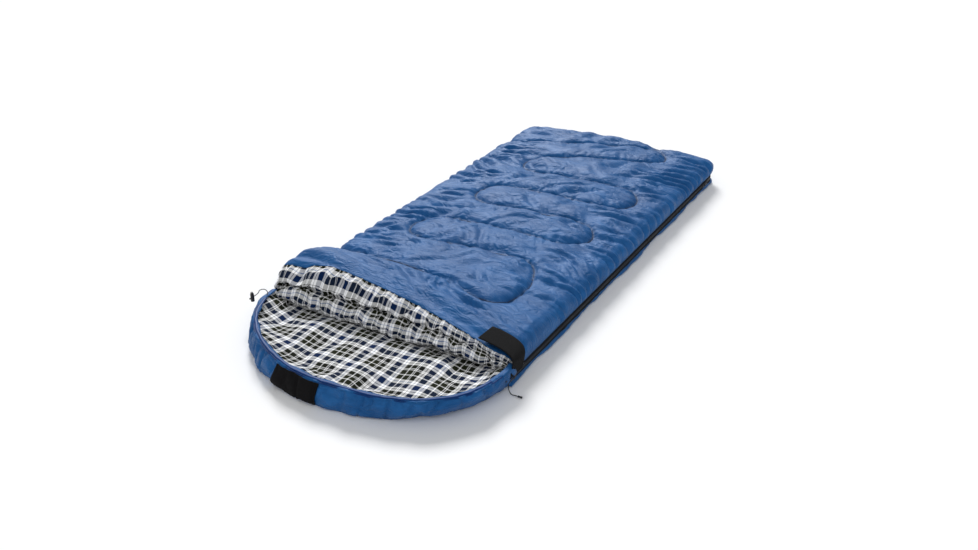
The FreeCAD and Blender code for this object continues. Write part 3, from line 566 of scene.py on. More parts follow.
def zip_run(step):
    """Points along the zip, the way out of the bag at each, and the length run."""
    radius = ZIP_LINE - HALF + CORNER
    straight = FOOT - CORNER - ZIP_START
    turn = radius * math.pi / 2
    total = straight + turn + (HALF - CORNER) - ZIP_END
    along = np.arange(0, total, step)
    places = []
    for run in along:
        if run < straight:
            places.append((ZIP_LINE, ZIP_START + run, 1, 0))
        elif run < straight + turn:
            angle = (run - straight) / radius
            places.append((HALF - CORNER + radius * math.cos(angle),
                           FOOT - CORNER + radius * math.sin(angle), math.cos(angle), math.sin(angle)))
        else:
            places.append((HALF - CORNER - (run - straight - turn), FOOT - CORNER + radius, 0, 1))
    places = np.array(places)
    return places[:, :2], places[:, 2:], along


def zip_tape(name, heights, lean, waver):
    """A tape through the given heights, leaning out by lean and wavering by waver."""
    place, out, along = zip_run(0.010)
    near_head = np.clip(1 - along / 0.45, 0, 1)
    rows = []
    for height, push in zip(heights, lean):
        slack = push + waver * ripple(along, along * 0 + height * 9, 0.07, 11)
        level = height + np.maximum(0.0205 - height, 0) * near_head
        rows.append(np.column_stack([place + out * slack[:, None], level]))
    points = np.array(rows).transpose(1, 0, 2)
    flat = np.dstack(np.meshgrid(along, heights, indexing="ij"))
    tape = cloth_panel(name, points, flat, black_tape)
    thicken(tape, SHELL_CLOTH, offset=0)
    return tape


base_tape = zip_tape("base_side_tape", [0.0255, 0.0225, 0.0195, 0.0165, 0.0140],
                     [0, 0.0012, 0.0020, 0.0020, 0.0010], 0.0010)
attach(base_tape, "base")
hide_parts("base_zip_tape")
quilt_tape = zip_tape("quilt_side_tape", [0.047, 0.0415, 0.0385, 0.0345], [-0.002, 0, 0.0004, 0], 0.0006)
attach(quilt_tape, "quilt")
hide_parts("quilt_zip_tape")

tooth_shape = [(-0.0011, -0.0018, 0), (0.0011, -0.0018, 0), (0.0011, 0.0018, 0), (-0.0011, 0.0018, 0),
               (-0.0007, -0.0013, 1), (0.0007, -0.0013, 1), (0.0007, 0.0013, 1), (-0.0007, 0.0013, 1)]
tooth_faces = [(3, 2, 1, 0), (4, 5, 6, 7), (0, 1, 5, 4), (1, 2, 6, 5), (2, 3, 7, 6), (3, 0, 4, 7)]


def small_solids(name, corners, faces, material):
    """One piece made of many small closed solids."""
    mesh = bpy.data.meshes.new(name)
    mesh.from_pydata(corners, [], faces)
    return add_object(name, mesh, material)


def zip_teeth(name, root, tip, first):
    """A row of teeth from root height to tip height, one every 3.4 mm."""
    place, out, _ = zip_run(0.0017)
    corners = []
    faces = []
    for centre, way in zip(place[first::2], out[first::2]):
        start = len(corners)
        for along, across, up in tooth_shape:
            corners.append((centre[0] - way[1] * along + way[0] * across,
                            centre[1] + way[0] * along + way[1] * across, root + (tip - root) * up))
        flip = 1 if tip > root else -1
        faces += [tuple(start + corner for corner in face[::flip]) for face in tooth_faces]
    teeth = small_solids(name, corners, faces, black_plastic)
    return teeth


base_teeth = zip_teeth("base_side_teeth", 0.0247, 0.0299, 0)
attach(base_teeth, "base")
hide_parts("base_zip_chain")
quilt_teeth = zip_teeth("quilt_side_teeth", 0.0353, 0.0301, 1)
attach(quilt_teeth, "quilt")
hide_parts("quilt_zip_chain")

# ---------------------------------------------------------------- sliders and pulls
# Die-cast sliders, blackened, each with a hinged tongue. The foot pull ends in a cross-bar.

repaint(["base_zip_stop", "quilt_zip_stop", "head_slider_body", "foot_slider_body", "head_pull_pin",
         "foot_pull_pin", "head_pull_tab", "foot_pull_tab"], dark_metal)
repaint(["foot_pull_grip"], black_plastic)

# ---------------------------------------------------------------- quilt cover
# One panel of blue taffeta from the foot to the head roll, quilted through the filling and
# turned down at its edges to the zip. The loft between the seams gathers it into soft folds.
# Rows at the foot's end follow the cut; the head roll's rows run from ROLL_START over its top.

EDGE, CELL, ROLL_HALF = 0.129, 0.0072, 0.474
ROLL_START, ROLL_PEAK, ROLL_CUT, ROLL_SEAMED = -0.45, -0.60, 0.33, 0.6
QUILT_TOP, HEM_LEVEL, FLOOR_CLEARANCE = 0.146, 0.046, 0.0005
edge_reach = ([0, 0.038, 0.058, 0.069, 0.0735, 0.0745, 0.0735, 0.069],
              [0, 0.0405, 0.066, 0.082, 0.094, 0.104, 0.113, EDGE])
edge_fall = ([1, 0.92, 0.80, 0.64, 0.47, 0.33, 0.21, 0.0], edge_reach[1])


def roll_heights(x):
    """The head roll's top height, and the place and height of its seam with the lining."""
    part = x / ROLL_HALF
    left = np.clip((-part - 0.58) / 0.26, 0, 1) ** 2
    return (0.168 - 0.031 * part - 0.021 * part ** 2 - 0.004 * left,
            -0.700 - 0.0625 * part - 0.0125 * part ** 2 - 0.034 * left,
            0.155 - 0.040 * part - 0.030 * part ** 2 - 0.020 * left)


def hem_height(x_side, y):
    """The edge's height: at the zip on the right and at the foot, lower along the fold."""
    along_fold = np.clip((1.00 - y) / 0.15, 0, 1)
    lowered = HEM_LEVEL - 0.018 * along_fold ** 2 * (3 - 2 * along_fold)
    return np.where(x_side < 0, lowered, HEM_LEVEL)


def turn_down(u, v, y, z, square=0.0, puff=0.0):
    """Cut coordinates to space: the middle stays, and the margins turn down to the hem."""
    side = np.clip(np.abs(u) - PLATEAU, 0, EDGE)
    end = np.clip(v - PLATEAU_END, 0, EDGE)
    run = np.maximum(side, end)
    lean = math.pi / 4 * np.minimum(side, end) / np.maximum(run, 1e-9)
    lean = np.where(side >= end, lean, math.pi / 2 - lean)
    reach = np.interp(run, edge_reach[1], edge_reach[0]) * (1 + 0.16 * np.sin(2 * lean) ** 2)
    over = np.clip(run / (0.7 * EDGE), 0, 1)
    swell = puff * np.sin(math.pi * np.clip(run / EDGE, 0, 1)) ** 0.5
    reach = reach * (1 + 0.40 * square) + swell * over
    fall = np.interp(run, edge_fall[1], edge_fall[0]) ** (1 - 0.7 * square)
    hem = hem_height(u, y)
    inner_x = np.clip(u, -PLATEAU, PLATEAU)
    return np.dstack([inner_x + np.sign(u) * reach * np.cos(lean) * (run > 0),
                      y + reach * np.sin(lean) * (run > 0),
                      hem + (z - hem) * fall + puff * (1 - over) * fall])


cover_u = np.linspace(-PLATEAU - EDGE, PLATEAU + EDGE, round(2 * (PLATEAU + EDGE) / CELL) + 1)
foot_rows = np.linspace(PLATEAU_END + EDGE, ROLL_START,
                        round((PLATEAU_END + EDGE - ROLL_START) / CELL) + 1)
grid_u, grid_v = np.meshgrid(cover_u, foot_rows[::-1])
flat_x = np.clip(grid_u, -PLATEAU, PLATEAU)
flat_y = np.minimum(grid_v, PLATEAU_END)
gap, nearest = from_snake(flat_x, flat_y)
snake_run = nearest[..., 2]
stitched = (gap < 0.55 * CELL) & (np.abs(grid_u) < PLATEAU + 0.04) & (grid_v < PLATEAU_END)
flat_x = np.where(stitched, nearest[..., 0], flat_x)
flat_y = np.where(stitched, nearest[..., 1], flat_y)


def loft_height(x, y, gap):
    """The filled panel's top: crowned across, falling to the foot, pulled in at the quilting."""
    fall = np.clip((y - 0.70) / 0.365, 0, 1)
    crown = QUILT_TOP - 0.038 * (np.abs(x) / 0.48) ** 2 - 0.006 * fall ** 2
    return crown - 0.015 * np.exp(-gap / 0.026) - 0.006 * np.exp(-gap / 0.008)


def fold(place, width):
    """Rounded ridges with narrow valleys between them, about a mean of zero."""
    return np.sqrt(np.sin(math.pi * place / width) ** 2 + 0.03) - 0.67


def between(low, value, high):
    """Strength from 0 to 1 as the value goes from low to high."""
    part = np.clip((value - low) / (high - low), 0, 1)
    return part * part * (3 - 2 * part)


def creases(u, v, gap, along):
    """The slack cloth's folds: short puckers off the quilting, long folds in from the edges."""
    side = np.abs(u)
    bent = v + 0.030 * ripple(u, v, 0.34, 41) + 0.005 * ripple(u, v, 0.11, 42)
    edge_folds = fold(bent - 0.16 * side, 0.054) * between(-0.9, ripple(u * 0.4, v, 0.17, 43), 0.5)
    fine_folds = fold(bent * 1.1 + 0.20 * side, 0.033) * between(-0.3, ripple(u * 0.5, v, 0.12, 44), 0.9)
    slant = 0.80 * v - 0.55 * u + 0.035 * ripple(u, v, 0.36, 45)
    slant_folds = fold(slant, 0.074) * between(-0.5, ripple(u, v, 0.24, 46), 0.8)
    counter = 0.75 * v + 0.65 * u + 0.030 * ripple(u, v, 0.30, 47)
    counter_folds = fold(counter, 0.062) * between(0.0, ripple(u, v, 0.26, 48), 1.0)
    pulled = fold(along + 0.4 * gap + 0.008 * ripple(u, v, 0.10, 49), 0.036)
    puckers = pulled * np.exp(-gap / 0.030) * between(-0.8, ripple(u, v, 0.15, 50), 0.6)
    edge = between(0.14, side, 0.36)
    folds = edge * (0.0220 * edge_folds + 0.0100 * fine_folds) \
        + (1 - 0.7 * edge) * (0.0150 * slant_folds + 0.0110 * counter_folds)
    return (1 - np.exp(-gap / 0.024)) * folds + (1 - np.exp(-gap / 0.010)) * 0.0130 * puckers


plateau_z = loft_height(flat_x, flat_y, gap) + 0.004 * ripple(flat_x, flat_y, 0.16, 21)
plateau_z = np.where(stitched, loft_height(flat_x, flat_y, 0 * gap), plateau_z)
plateau_puff = np.where(stitched, 0, creases(grid_u, grid_v, gap, snake_run))
plateau = turn_down(np.where(stitched & (np.abs(grid_u) <= PLATEAU), flat_x, grid_u), grid_v, flat_y,
                    plateau_z, puff=plateau_puff)

roll_u, roll_w = np.meshgrid(cover_u, np.linspace(0, 1, 46)[:0:-1])
roll_x = np.clip(roll_u, -PLATEAU, PLATEAU)
peak_z, seam_y, seam_z = roll_heights(roll_x)
start_y = np.full_like(roll_x, ROLL_START)
start_z = loft_height(roll_x, start_y, from_snake(roll_x, start_y)[0])
roll_y = ROLL_START + roll_w * (seam_y - ROLL_START)
peak_w = (ROLL_PEAK - ROLL_START) / (seam_y - ROLL_START)
rise = np.clip(roll_w / peak_w, 0, 1)
drop = np.clip((roll_w - peak_w) / (1 - peak_w), 0, 1)
roll_gap, _ = from_snake(roll_x, roll_y)
seam_dip = np.where(roll_w < ROLL_SEAMED, 0.022 * np.exp(-roll_gap / 0.026) * np.clip(roll_w * 8, 0, 1), 0)
roll_z = (start_z + (peak_z - start_z) * np.sin(rise * math.pi / 2) - (peak_z - seam_z) * drop ** 2
          - seam_dip)
fold_run = roll_y + 0.12 * roll_x + 0.02 * ripple(roll_x, roll_y, 0.5, 31)
long_fold = roll_y + 0.30 * roll_x + 0.030 * ripple(roll_x, roll_y, 0.42, 34)
short_fold = roll_y * 0.45 + 0.95 * roll_x + 0.03 * ripple(roll_x, roll_y, 0.3, 35)
roll_z = roll_z + np.sin(roll_w * math.pi) ** 0.6 * (
    0.0170 * fold(fold_run, 0.085) * between(-0.7, ripple(roll_x, roll_y, 0.3, 36), 0.6)
    + 0.0150 * fold(long_fold, 0.060) * between(-0.2, ripple(roll_x, roll_y, 0.22, 37), 0.9)
    + 0.0120 * fold(short_fold, 0.055) * between(0.1, ripple(roll_x, roll_y, 0.25, 38), 0.9))
roll_cut = ROLL_START - roll_w * ROLL_CUT
roll = turn_down(roll_u, roll_cut, roll_y, roll_z, square=roll_w * (roll_u < 0))


def held_edges(shape, first=1, last=1):
    """Which points of a panel are sewn down: its end rows and two columns at either side."""
    pins = np.zeros(shape, bool)
    pins[:first] = pins[-last:] = True
    pins[:, :2] = pins[:, -2:] = True
    return pins


cover_points = np.vstack([roll, plateau])
cover_cut = np.vstack([np.dstack([roll_u, roll_cut]), np.dstack([grid_u, grid_v])])
roll_seam = (roll_gap < 0.5 * CELL) & (roll_w < ROLL_SEAMED) & (np.abs(roll_u) < PLATEAU)
cover_pins = held_edges(cover_points.shape[:2]) | np.vstack([roll_seam, stitched])
quilt_cover = cloth_panel("quilt_cover", cover_points, cover_cut, shell_blue)
# Painted shade for the quilting grooves: each point's strength, 1 on the seam and fading within a few
# millimetres, by which the shell's material darkens its colour.
seam_gap = np.vstack([np.where(roll_w < ROLL_SEAMED, roll_gap, 1), np.where(stitched, 0, gap)])
painted_seam_shade = quilt_cover.data.attributes.new("painted_seam_shade", "FLOAT", "POINT")
painted_seam_shade.data.foreach_set("value", np.exp(-(seam_gap / 0.0042) ** 2).astype(np.float32).ravel())


def vertex_places(mesh):
    """The places of a mesh's vertices, one row each."""
    held = np.empty(len(mesh.vertices) * 3, np.float32)
    mesh.vertices.foreach_get("co", held)
    return held.reshape(-1, 3)


def plump(piece, pins, spare, pressure, cap, frames=18):
    """Let the panel swell between its seams: it has spare cloth, and the filling presses it out."""
    start = vertex_places(piece.data)
    seams = piece.vertex_groups.new(name="seams")
    seams.add(np.flatnonzero(pins.ravel()).tolist(), 1.0, "REPLACE")
    cloth = piece.modifiers.new("filled_cloth", "CLOTH")
    for setting, value in {"vertex_group_mass": "seams", "shrink_min": -spare, "use_pressure": True,
                           "uniform_pressure_force": pressure, "quality": 6, "mass": 0.3,
                           "tension_stiffness": 25, "compression_stiffness": 25,
                           "shear_stiffness": 8, "bending_stiffness": 2, "air_damping": 2}.items():
        setattr(cloth.settings, setting, value)
    cloth.settings.effector_weights.gravity = 0
    cloth.point_cache.frame_start = 1
    cloth.point_cache.frame_end = frames
    for moment in range(1, frames + 1):
        scene.frame_set(moment)
    ended = vertex_places(piece.evaluated_get(bpy.context.evaluated_depsgraph_get()).to_mesh())
    ended[:, 2] = np.maximum(ended[:, 2], np.minimum(start[:, 2], FLOOR_CLEARANCE))
    moved = ended - start
    far = np.linalg.norm(moved, axis=1, keepdims=True)
    moved *= np.minimum(1, cap / np.maximum(far, 1e-9))
    piece.modifiers.remove(cloth)
    piece.vertex_groups.remove(seams)
    piece.data.vertices.foreach_set("co", (start + moved).reshape(-1))
    piece.data.update()
    scene.frame_set(1)


plump(quilt_cover, cover_pins, 0.020, 0.5, 0.008)
cover_top_row = vertex_places(quilt_cover.data)[:cover_points.shape[1]]
thicken(quilt_cover, SHELL_CLOTH)
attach(quilt_cover, "quilt")
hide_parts("quilt_shell", "quilt_fill", "left_hem_fill", "right_hem_fill",
            "foot_hem_fill", "head_roll_shell", "head_roll_fill", "head_side_hems")

# ---------------------------------------------------------------- quilting stitches
# Polyester thread, one machine stitch every 6 mm, sunk in the cover along the quilting line. The stitches
# are drawn wide and in dark navy so that they also stand for painted shade in the quilting groove.

thread_and_groove_shade, tree, shader = surface("quilting_thread_and_groove_shade", Roughness=0.7)
thread_place = node(tree, "ShaderNodeTexCoord").outputs["Object"]
twist = wave(tree, thread_place, 900.0, "DIAGONAL")
# Dark navy, darker than the thread alone: partly the thread's colour and partly painted shade of the
# groove.
finish_mix(tree, shader, colour(4, 18, 48), colour(12, 32, 70), twist, twist, 0.0001)
cover_surface = bvhtree.BVHTree.FromPolygons([v.co for v in quilt_cover.data.vertices],
                                             [p.vertices for p in quilt_cover.data.polygons])
# Stitches 3.8 mm wide, wider than the thread, so that they carry the groove's painted shade.
STITCH_HALF, STITCH_CROWN = 0.0019, ((-1, 0.0006), (0, 0.0018), (1, 0.0006))
stitch_corners = []
stitch_faces = []
stitch_line = snake_line[(snake_line[:, 0] > -0.43) & (snake_line[:, 1] < 1.10)]
for here, there in zip(stitch_line[:-2:2], stitch_line[1:-1:2]):
    if np.linalg.norm(there - here) > 0.004:
        continue
    way = (there - here) / np.linalg.norm(there - here)
    side = np.array([-way[1], way[0]]) * STITCH_HALF
    start = len(stitch_corners)
    for place in (here - way * 0.0008, there + way * 0.0014):
        cover_top = cover_surface.ray_cast(Vector((*place, 0.4)), Vector((0, 0, -1)))[0].z
        for across, above in STITCH_CROWN:
            stitch_corners.append((*(place + side * across), cover_top + above))
    stitch_faces += [(start, start + 3, start + 4, start + 1), (start + 1, start + 4, start + 5, start + 2),
                     (start, start + 1, start + 2), (start + 3, start + 5, start + 4),
                     (start, start + 2, start + 5, start + 3)]
stitches = small_solids("quilting_stitches_and_groove_shade", stitch_corners, stitch_faces, thread_and_groove_shade)
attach(stitches, "quilt")

# ---------------------------------------------------------------- quilt lining
# The same brushed check on the quilt's inside, seen when the bag is open.


def quilt_lining_height(x, y, gap, edge):
    """Nearly level, raised along the quilting, down to the hem at the edges."""
    return (0.0655 - 0.018 * np.exp(-edge / 0.014) + 0.0015 * ripple(x, y, 0.1, 41)
            + 0.004 * np.exp(-gap / 0.012))


quilt_inside = flat_lining("quilt_inner_lining", 0.468, -0.700, 1.134, 184, 0.060,
                           quilt_lining_height, faces_down=True)
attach(quilt_inside, "quilt")
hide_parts("quilt_lining")

# ---------------------------------------------------------------- head roll lining and collar
# The check comes round the head roll's front, is sewn down in a crease, swells again over
# the draft collar and tucks under it.

CREASE_AT, CREASE_ROW = 0.375, 17
front_u, front_w = np.meshgrid(cover_u, np.linspace(0, 1, 46))
front_x = np.clip(front_u, -PLATEAU, PLATEAU)
_, seam_y, seam_z = roll_heights(front_x)
right_share = np.clip(front_x / ROLL_HALF, 0, 1) ** 2
crease_y = -0.742 - 0.036 * right_share
crease_z = 0.102 - 0.032 * right_share
stations = [(seam_y, seam_z),
            (seam_y * 0.62 + crease_y * 0.38 - 0.016 * (1 - right_share), seam_z - 0.010),
            (crease_y - 0.014 * (1 - right_share), seam_z * 0.35 + crease_z * 0.65),
            (crease_y, crease_z), (crease_y - 0.026 + 0.016 * right_share, crease_z - 0.006),
            (-0.786, 0.072 - 0.012 * right_share), (-0.784, 0.056), (-0.762, 0.046), (-0.700, 0.047)]
span = front_w * (len(stations) - 1)
front_y = np.zeros_like(front_x)
front_z = np.zeros_like(front_x)
for number, (station_y, station_z) in enumerate(stations):
    share = np.clip(1 - np.abs(span - number), 0, 1)
    share = share ** 2 * (3 - 2 * share)
    front_y += share * station_y
    front_z += share * station_z
bulge = (np.sin(np.clip(front_w / CREASE_AT, 0, 1) * math.pi)
         + np.sin(np.clip((front_w - CREASE_AT) / 0.4, 0, 1) * math.pi))
front_y = front_y + 0.004 * bulge * ripple(front_x, front_w * 0.25, 0.06, 51)
front_z = front_z + 0.004 * bulge * ripple(front_x, front_w * 0.25, 0.09, 53)
front_points = turn_down(front_u, 0 * front_u - 0.7, front_y, front_z,
                         square=np.clip(1 - front_w * 2.5, 0, 1) * (front_u < 0))
front_points[0] = cover_top_row
front_cut = np.dstack([front_u * 1.22, -0.70 - front_w * 0.26])
front_pins = held_edges(front_u.shape)
front_pins[CREASE_ROW] = True
head_lining = cloth_panel("head_roll_front", front_points, front_cut, lining_check, faces_down=True)
plump(head_lining, front_pins, 0.10, 2.5, 0.012)
thicken(head_lining, LINING_CLOTH)
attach(head_lining, "quilt")
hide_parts("head_roll_lining", "draft_collar")

# ---------------------------------------------------------------- draft tube
# A stuffed tube of the blue shell along the inside of the zip.

TUBE_X, TUBE_Z = 0.4315, 0.0555
tube_turn, tube_y = np.meshgrid(np.linspace(0, math.tau, 17), np.arange(-0.558, 1.037, 0.010))
tube_end = np.minimum(tube_y + 0.560, 1.038 - tube_y)
tube_radius = 0.0076 + 0.0008 * ripple(np.cos(tube_turn) * 0.03, tube_y, 0.05, 61)
tube_radius = tube_radius * np.sqrt(np.clip(tube_end / 0.02, 0.02, 1))
tube_points = np.dstack([TUBE_X + tube_radius * np.cos(tube_turn), tube_y,
                         TUBE_Z + tube_radius * np.sin(tube_turn)])
draft_tube = cloth_panel("side_draft_tube", tube_points, np.dstack([tube_turn * 0.0085, tube_y]),
                         shell_blue, faces_down=True)
close_up(draft_tube, hole_sides=40)
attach(draft_tube, "quilt")
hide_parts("draft_tube")

# ---------------------------------------------------------------- left fold
# The shell's own cloth turning up from the base to the quilt at the folded left edge.

fold_across = np.array([(-0.466, 0.004), (-0.4725, 0.008), (-0.4762, 0.016), (-0.4765, 0.026),
                        (-0.474, 0.036), (-0.468, 0.046), (-0.460, 0.053)])
fold_y = np.arange(-0.765, 1.075, 0.012)
fold_rows, fold_columns = np.meshgrid(fold_y, np.arange(len(fold_across)), indexing="ij")
fold_slack = 0.0016 * ripple(fold_rows, fold_columns * 0.01, 0.05, 71)
fold_points = np.dstack([fold_across[fold_columns][..., 0] - fold_slack, fold_rows,
                         fold_across[fold_columns][..., 1]])
left_fold = cloth_panel("left_fold", fold_points, np.dstack([fold_columns * 0.011, fold_rows]),
                        shell_blue)
thicken(left_fold, SHELL_CLOTH)
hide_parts("left_fold_gusset")
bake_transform(left_fold)

# ---------------------------------------------------------------- hood cover
# The half-round hood's underside and its stuffed wall in one: blue taffeta, eased into
# short pleats where it is sewn to the rim's binding.

SHOULDER, RIM_LEVEL, RIM_COUNT = -0.775, 0.08, 236
UNDERSIDE, WALL_STEP = 0.0015, 0.0115
GROUND_HALF, GROUND_DEPTH, RIM_DEPTH = 0.455, 0.383, 0.374


def hood_line(part, height):
    """The hood's outline at a height, from its left end (0) to its right end (1)."""
    lift = between(0, height, 0.083)
    angle = math.pi * (1 - part)
    right = np.cos(angle) > 0
    half = GROUND_HALF + (np.where(right, 0.484, 0.482) - GROUND_HALF) * lift
    depth = GROUND_DEPTH + (RIM_DEPTH - GROUND_DEPTH) * lift
    power = 2.1 + (np.where(right, 2.6, 1.85) - 2.1) * lift
    along = np.sign(np.cos(angle)) * np.abs(np.cos(angle)) ** (2 / power) * half
    return np.stack([along, SHOULDER - np.abs(np.sin(angle)) ** (2 / power) * depth], axis=-1)


hood_part = np.linspace(0.0, 1.0, 240)
rim_steps = np.linalg.norm(np.diff(hood_line(hood_part, RIM_LEVEL), axis=0), axis=1)
rim_run = np.cumsum(np.concatenate([[0], rim_steps]))
wall_length = np.linspace(0, rim_run[-1], RIM_COUNT)
hood_part = np.interp(wall_length, rim_run, hood_part)
wall_profile = [(0.030, 0.0015), (0.012, 0.0012), (0.003, 0.003), (-0.004, 0.010), (-0.008, 0.020),
                (-0.010, 0.031), (-0.010, 0.042), (-0.008, 0.053), (-0.005, 0.063), (-0.001, 0.072),
                (0.002, 0.079), (0.006, 0.084), (0.012, 0.086), (0.020, 0.084)]
pleats = np.random.default_rng(81)
pleat_place = np.cumsum(pleats.uniform(0.022, 0.075, 40))
pleat_depth = pleats.uniform(0.25, 1.0, 40)
pleat_lean = pleats.uniform(-0.5, 0.7, 40)
rim_tangent = np.gradient(hood_line(hood_part, RIM_LEVEL), axis=0)
rim_tangent /= np.linalg.norm(rim_tangent, axis=1, keepdims=True)
inward = np.column_stack([-rim_tangent[:, 1], rim_tangent[:, 0]])
rim_waver = 0.0015 * ripple(wall_length, 0 * wall_length, 0.2, 85)
ground = hood_line(hood_part, 0.0) + inward * 0.030
chord = np.column_stack([ground[:, 0], np.full(RIM_COUNT, SHOULDER - 0.0005)])
hood_rows = []
hood_cut = []
for share in (0.0, 0.25, 0.5, 0.75):
    hood_rows.append(np.column_stack([chord + (ground - chord) * share, np.full(RIM_COUNT, UNDERSIDE)]))
    hood_cut.append(hood_rows[-1][:, :2])
wall_run = 0.0
for inset, height in wall_profile:
    folds = np.zeros(RIM_COUNT)
    top_share = np.clip(height / RIM_LEVEL, 0, 1)
    for place, depth, lean in zip(pleat_place, pleat_depth, pleat_lean):
        middle = place + lean * (RIM_LEVEL - height)
        folds += depth * np.exp(-((wall_length - middle) / 0.0070) ** 2)
    bulge = 0.0025 * ripple(wall_length, 0 * wall_length + height * 2, 0.09, 83)
    puff = folds * 0.0120 * top_share ** 0.9 * (height < 0.075) + bulge
    ring = hood_line(hood_part, height) + inward * (inset + puff)[:, None]
    hood_rows.append(np.column_stack([ring, height + rim_waver * top_share]))
    wall_run += WALL_STEP
    hood_cut.append(np.column_stack([wall_length, np.full(RIM_COUNT, wall_run)]))
hood_points = np.array(hood_rows)
hood_cover = cloth_panel("hood_cover", hood_points, np.array(hood_cut), shell_blue, faces_down=True)
plump(hood_cover, held_edges(hood_points.shape[:2], first=6, last=3), 0.04, 0.5, 0.005)
hood_shape = vertex_places(hood_cover.data).reshape(hood_points.shape)
thicken(hood_cover, SHELL_CLOTH)
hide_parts("hood_shell", "hood_fill", "rim_shell", "rim_fill")
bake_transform(hood_cover)

# ---------------------------------------------------------------- rim tunnel, drawcord and piping
# A flat binding in darker blue along the rim makes the drawcord's tunnel, with a line of
# piping under its outer edge.


def rim_tube(name, inset, height, wide, tall, material, start=0.0, end=1.0):
    """A soft oval tube along the rim, set in from its outline."""
    chosen = (hood_part >= start) & (hood_part <= end)
    path = hood_line(hood_part, RIM_LEVEL) + inward * inset
    path = path + inward * (0.0010 * ripple(wall_length, 0 * wall_length, 0.05, 91))[:, None]
    towards_exit = np.clip(1 - (wall_length - wall_length[chosen][0]) / 0.10, 0, 1)
    path[:, 0] += towards_exit * (inset > 0.005) * (drawcord_route[0][0] - path[chosen][0, 0])
    rows = []
    for angle in np.linspace(0, math.tau, 13):
        spread = inward * (wide / 2 * math.cos(angle))
        level = height + rim_waver + tall / 2 * math.sin(angle)
        rows.append(np.column_stack([path + spread, level])[chosen])
    flat = np.dstack(np.meshgrid(wall_length[chosen], np.linspace(0, 0.03, 13)))
    tube = cloth_panel(name, np.array(rows), flat, material)
    close_up(tube, hole_sides=20)
    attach(tube, "hood")
    return tube


left_rim = RIM_COUNT // 2
left_run = SHOULDER - hood_line(hood_part, RIM_LEVEL)[:left_rim, 1]
tunnel_start = float(np.interp(0.068, left_run, hood_part[:left_rim]))
tunnel = rim_tube("rim_drawcord_tunnel", 0.011, 0.0845, 0.0125, 0.0062, binding_blue,
                  start=tunnel_start, end=1 - tunnel_start)
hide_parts("drawcord_tunnel")
inner_cord = rim_tube("rim_drawcord", 0.011, 0.0845, 0.003, 0.003, cord_black,
                      start=tunnel_start + 0.004, end=0.996 - tunnel_start)
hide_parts("hood_drawcord")
piping = rim_tube("rim_edge_piping", 0.0035, 0.0815, 0.0045, 0.0045, binding_blue)
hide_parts("rim_piping")

# ---------------------------------------------------------------- hood lining
# Brushed check from the rim down into the hood's padded well, where the head or a pillow lies.

WELL_START = SHOULDER + 0.003
well_part, well_in = np.meshgrid(np.linspace(-1, 1, 118), np.linspace(0, 1, 50))
rim_curve = hood_line(hood_part, RIM_LEVEL) + inward * 0.009
low_x, high_x = rim_curve[1, 0], rim_curve[-2, 0]
well_x = low_x + (np.sin(well_part * math.pi / 2) + 1) / 2 * (high_x - low_x)
well_y = WELL_START * (1 - well_in) + np.interp(well_x, rim_curve[:, 0], rim_curve[:, 1]) * well_in
rim_tree = kdtree.KDTree(len(rim_curve))
for number, (x, y) in enumerate(rim_curve):
    rim_tree.insert((x, y, 0), number)
rim_tree.balance()
rim_gap = np.array([rim_tree.find((x, y, 0))[2] for x, y in zip(well_x.ravel(), well_y.ravel())])
rim_gap = rim_gap.reshape(well_x.shape)
slope = np.clip(1 - rim_gap / 0.105, 0, 1)
well_z = (0.0425 + 0.0405 * slope ** 1.6
          + 0.0055 * ripple(well_x, well_y, 0.24, 101) * np.clip(rim_gap / 0.05, 0, 1)
          + 0.0014 * ripple(well_x, well_y, 0.06, 103) * np.clip(rim_gap / 0.04, 0, 1))
chord_gap = np.clip((WELL_START - well_y) / 0.05, 0, 1)
well_z = LINING_LEVEL + (well_z - LINING_LEVEL) * np.where(rim_gap < 0.06, 1, chord_gap)
well_points = np.dstack([well_x, well_y, well_z])
well_cut = np.dstack([well_x, well_y - 0.4 * (well_z - LINING_LEVEL)])
hood_inside = cloth_panel("hood_inner_lining", well_points, well_cut, lining_check, faces_down=True)
plump(hood_inside, held_edges(well_x.shape), 0.03, 1.0, 0.006)
thicken(hood_inside, LINING_CLOTH)
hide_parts("hood_lining", "rim_lining")
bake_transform(hood_inside)

# ---------------------------------------------------------------- label patch
# A plain black woven patch sewn over the wall in the middle of the hood, left blank.

PATCH_LEFT, PATCH_RIGHT, PATCH_STANDOFF = -0.162, 0.022, 0.0042
patch_black = woven_surface("woven_patch", colour(3, 2, 3), colour(12, 10, 12), 500.0, 0.0012)
patch_x = hood_line(hood_part, 0.05)[:, 0]
patch_span = np.flatnonzero((patch_x > PATCH_LEFT) & (patch_x < PATCH_RIGHT))
patch_wall = hood_shape[5:15, patch_span]
patch_rows = []
patch_cut = []
for height in (0.006, 0.016, 0.026, 0.036, 0.046, 0.056, 0.066, 0.075, 0.081):
    ring = np.column_stack([[np.interp(height, column[:, 2], column[:, axis])
                             for column in patch_wall.swapaxes(0, 1)] for axis in (0, 1)])
    ring = ring - inward[patch_span] * PATCH_STANDOFF
    patch_rows.append(np.column_stack([ring, np.full(len(ring), height)]))
    patch_cut.append(np.column_stack([wall_length[patch_span], np.full(len(ring), height)]))
label_patch = cloth_panel("hood_patch", np.array(patch_rows), np.array(patch_cut), patch_black,
                          faces_down=True)
thicken(label_patch, 0.0014)
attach(label_patch, "hood")
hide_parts("hood_label")

# ---------------------------------------------------------------- closing tab
# A wide tab of black webbing from the quilt's corner over the rim's end, closed on the
# outside with hook and loop.

STRAP_STEP = 0.004

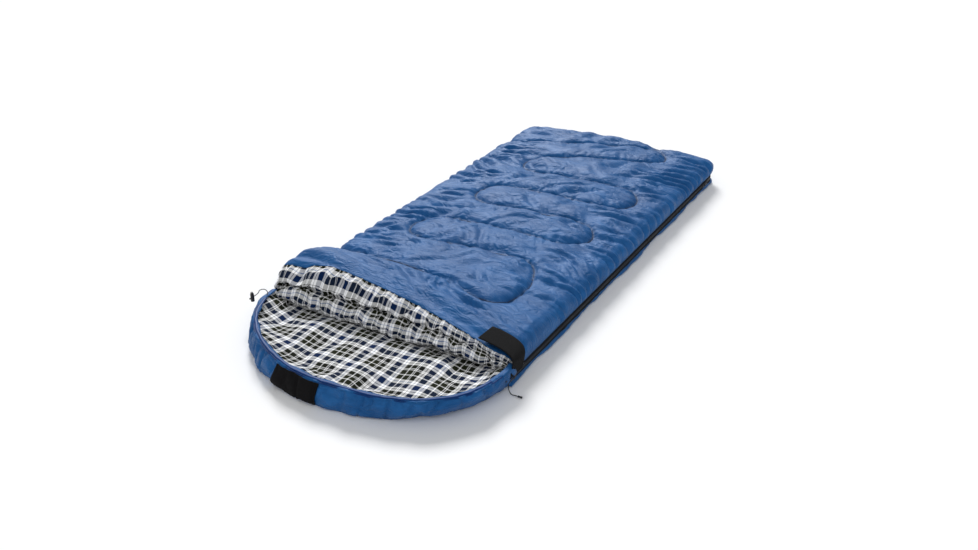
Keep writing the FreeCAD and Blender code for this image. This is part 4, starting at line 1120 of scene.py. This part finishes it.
def strip_along(name, middle, widths, leans, material, thickness, columns=13):
    """A strap along a smooth middle line, its width along Y and leaning headwards."""
    line = smooth_line(middle, STRAP_STEP)
    share = np.linspace(0, 1, len(line))
    given = np.linspace(0, 1, len(widths))
    width = np.interp(share, given, widths)
    lean = np.interp(share, given, leans)
    across = np.linspace(-0.5, 0.5, columns)
    points = line[:, None, :] + across[None, :, None] * width[:, None, None] * np.dstack(
        [np.sin(lean)[:, None], np.cos(lean)[:, None], 0 * lean[:, None]])
    length = share * len(line) * STRAP_STEP
    flat = np.dstack([np.repeat(length[:, None], columns, axis=1), across[None, :] * width[:, None]])
    strap = cloth_panel(name, points, flat, material)
    thicken(strap, thickness, offset=0)
    return strap


tab_webbing, tree, shader = surface("tab_webbing", Roughness=0.9, Specular_IOR_Level=0.2)
tab_cut = node(tree, "ShaderNodeTexCoord").outputs["UV"]
rib_weave = maths(tree, "MULTIPLY", wave(tree, tab_cut, 190.0, "Y", Distortion=0.4),
                  wave(tree, tab_cut, 320.0, "X", Distortion=0.6))
finish_mix(tree, shader, colour(7, 7, 8), colour(26, 26, 29), rib_weave, rib_weave, 0.0005)
closing_tab = strip_along("side_closing_tab",
                          [(0.345, -0.7185, 0.1290), (0.380, -0.7215, 0.1270), (0.420, -0.727, 0.1225),
                           (0.452, -0.734, 0.1165), (0.472, -0.741, 0.1080), (0.4820, -0.749, 0.0950),
                           (0.4840, -0.756, 0.0800), (0.4842, -0.764, 0.0640), (0.4840, -0.771, 0.0500)],
                          [0.083, 0.085, 0.085, 0.085, 0.084, 0.080, 0.078],
                          [0.06, 0.02, -0.06, -0.08, -0.04, 0, 0], tab_webbing, 0.0022)
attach(closing_tab, "tab")
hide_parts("closing_tab")

# ---------------------------------------------------------------- hang loops
# Loops of black webbing caught in the foot seam, for hanging the bag up to air.

repaint(["hang_loops"], tab_webbing)

hook_nylon = hard_surface("hook_and_loop", colour(18, 18, 20), colour(52, 52, 56), 1500.0, 0.0006)
repaint(["tab_hook_patch", "loop_patch"], hook_nylon)
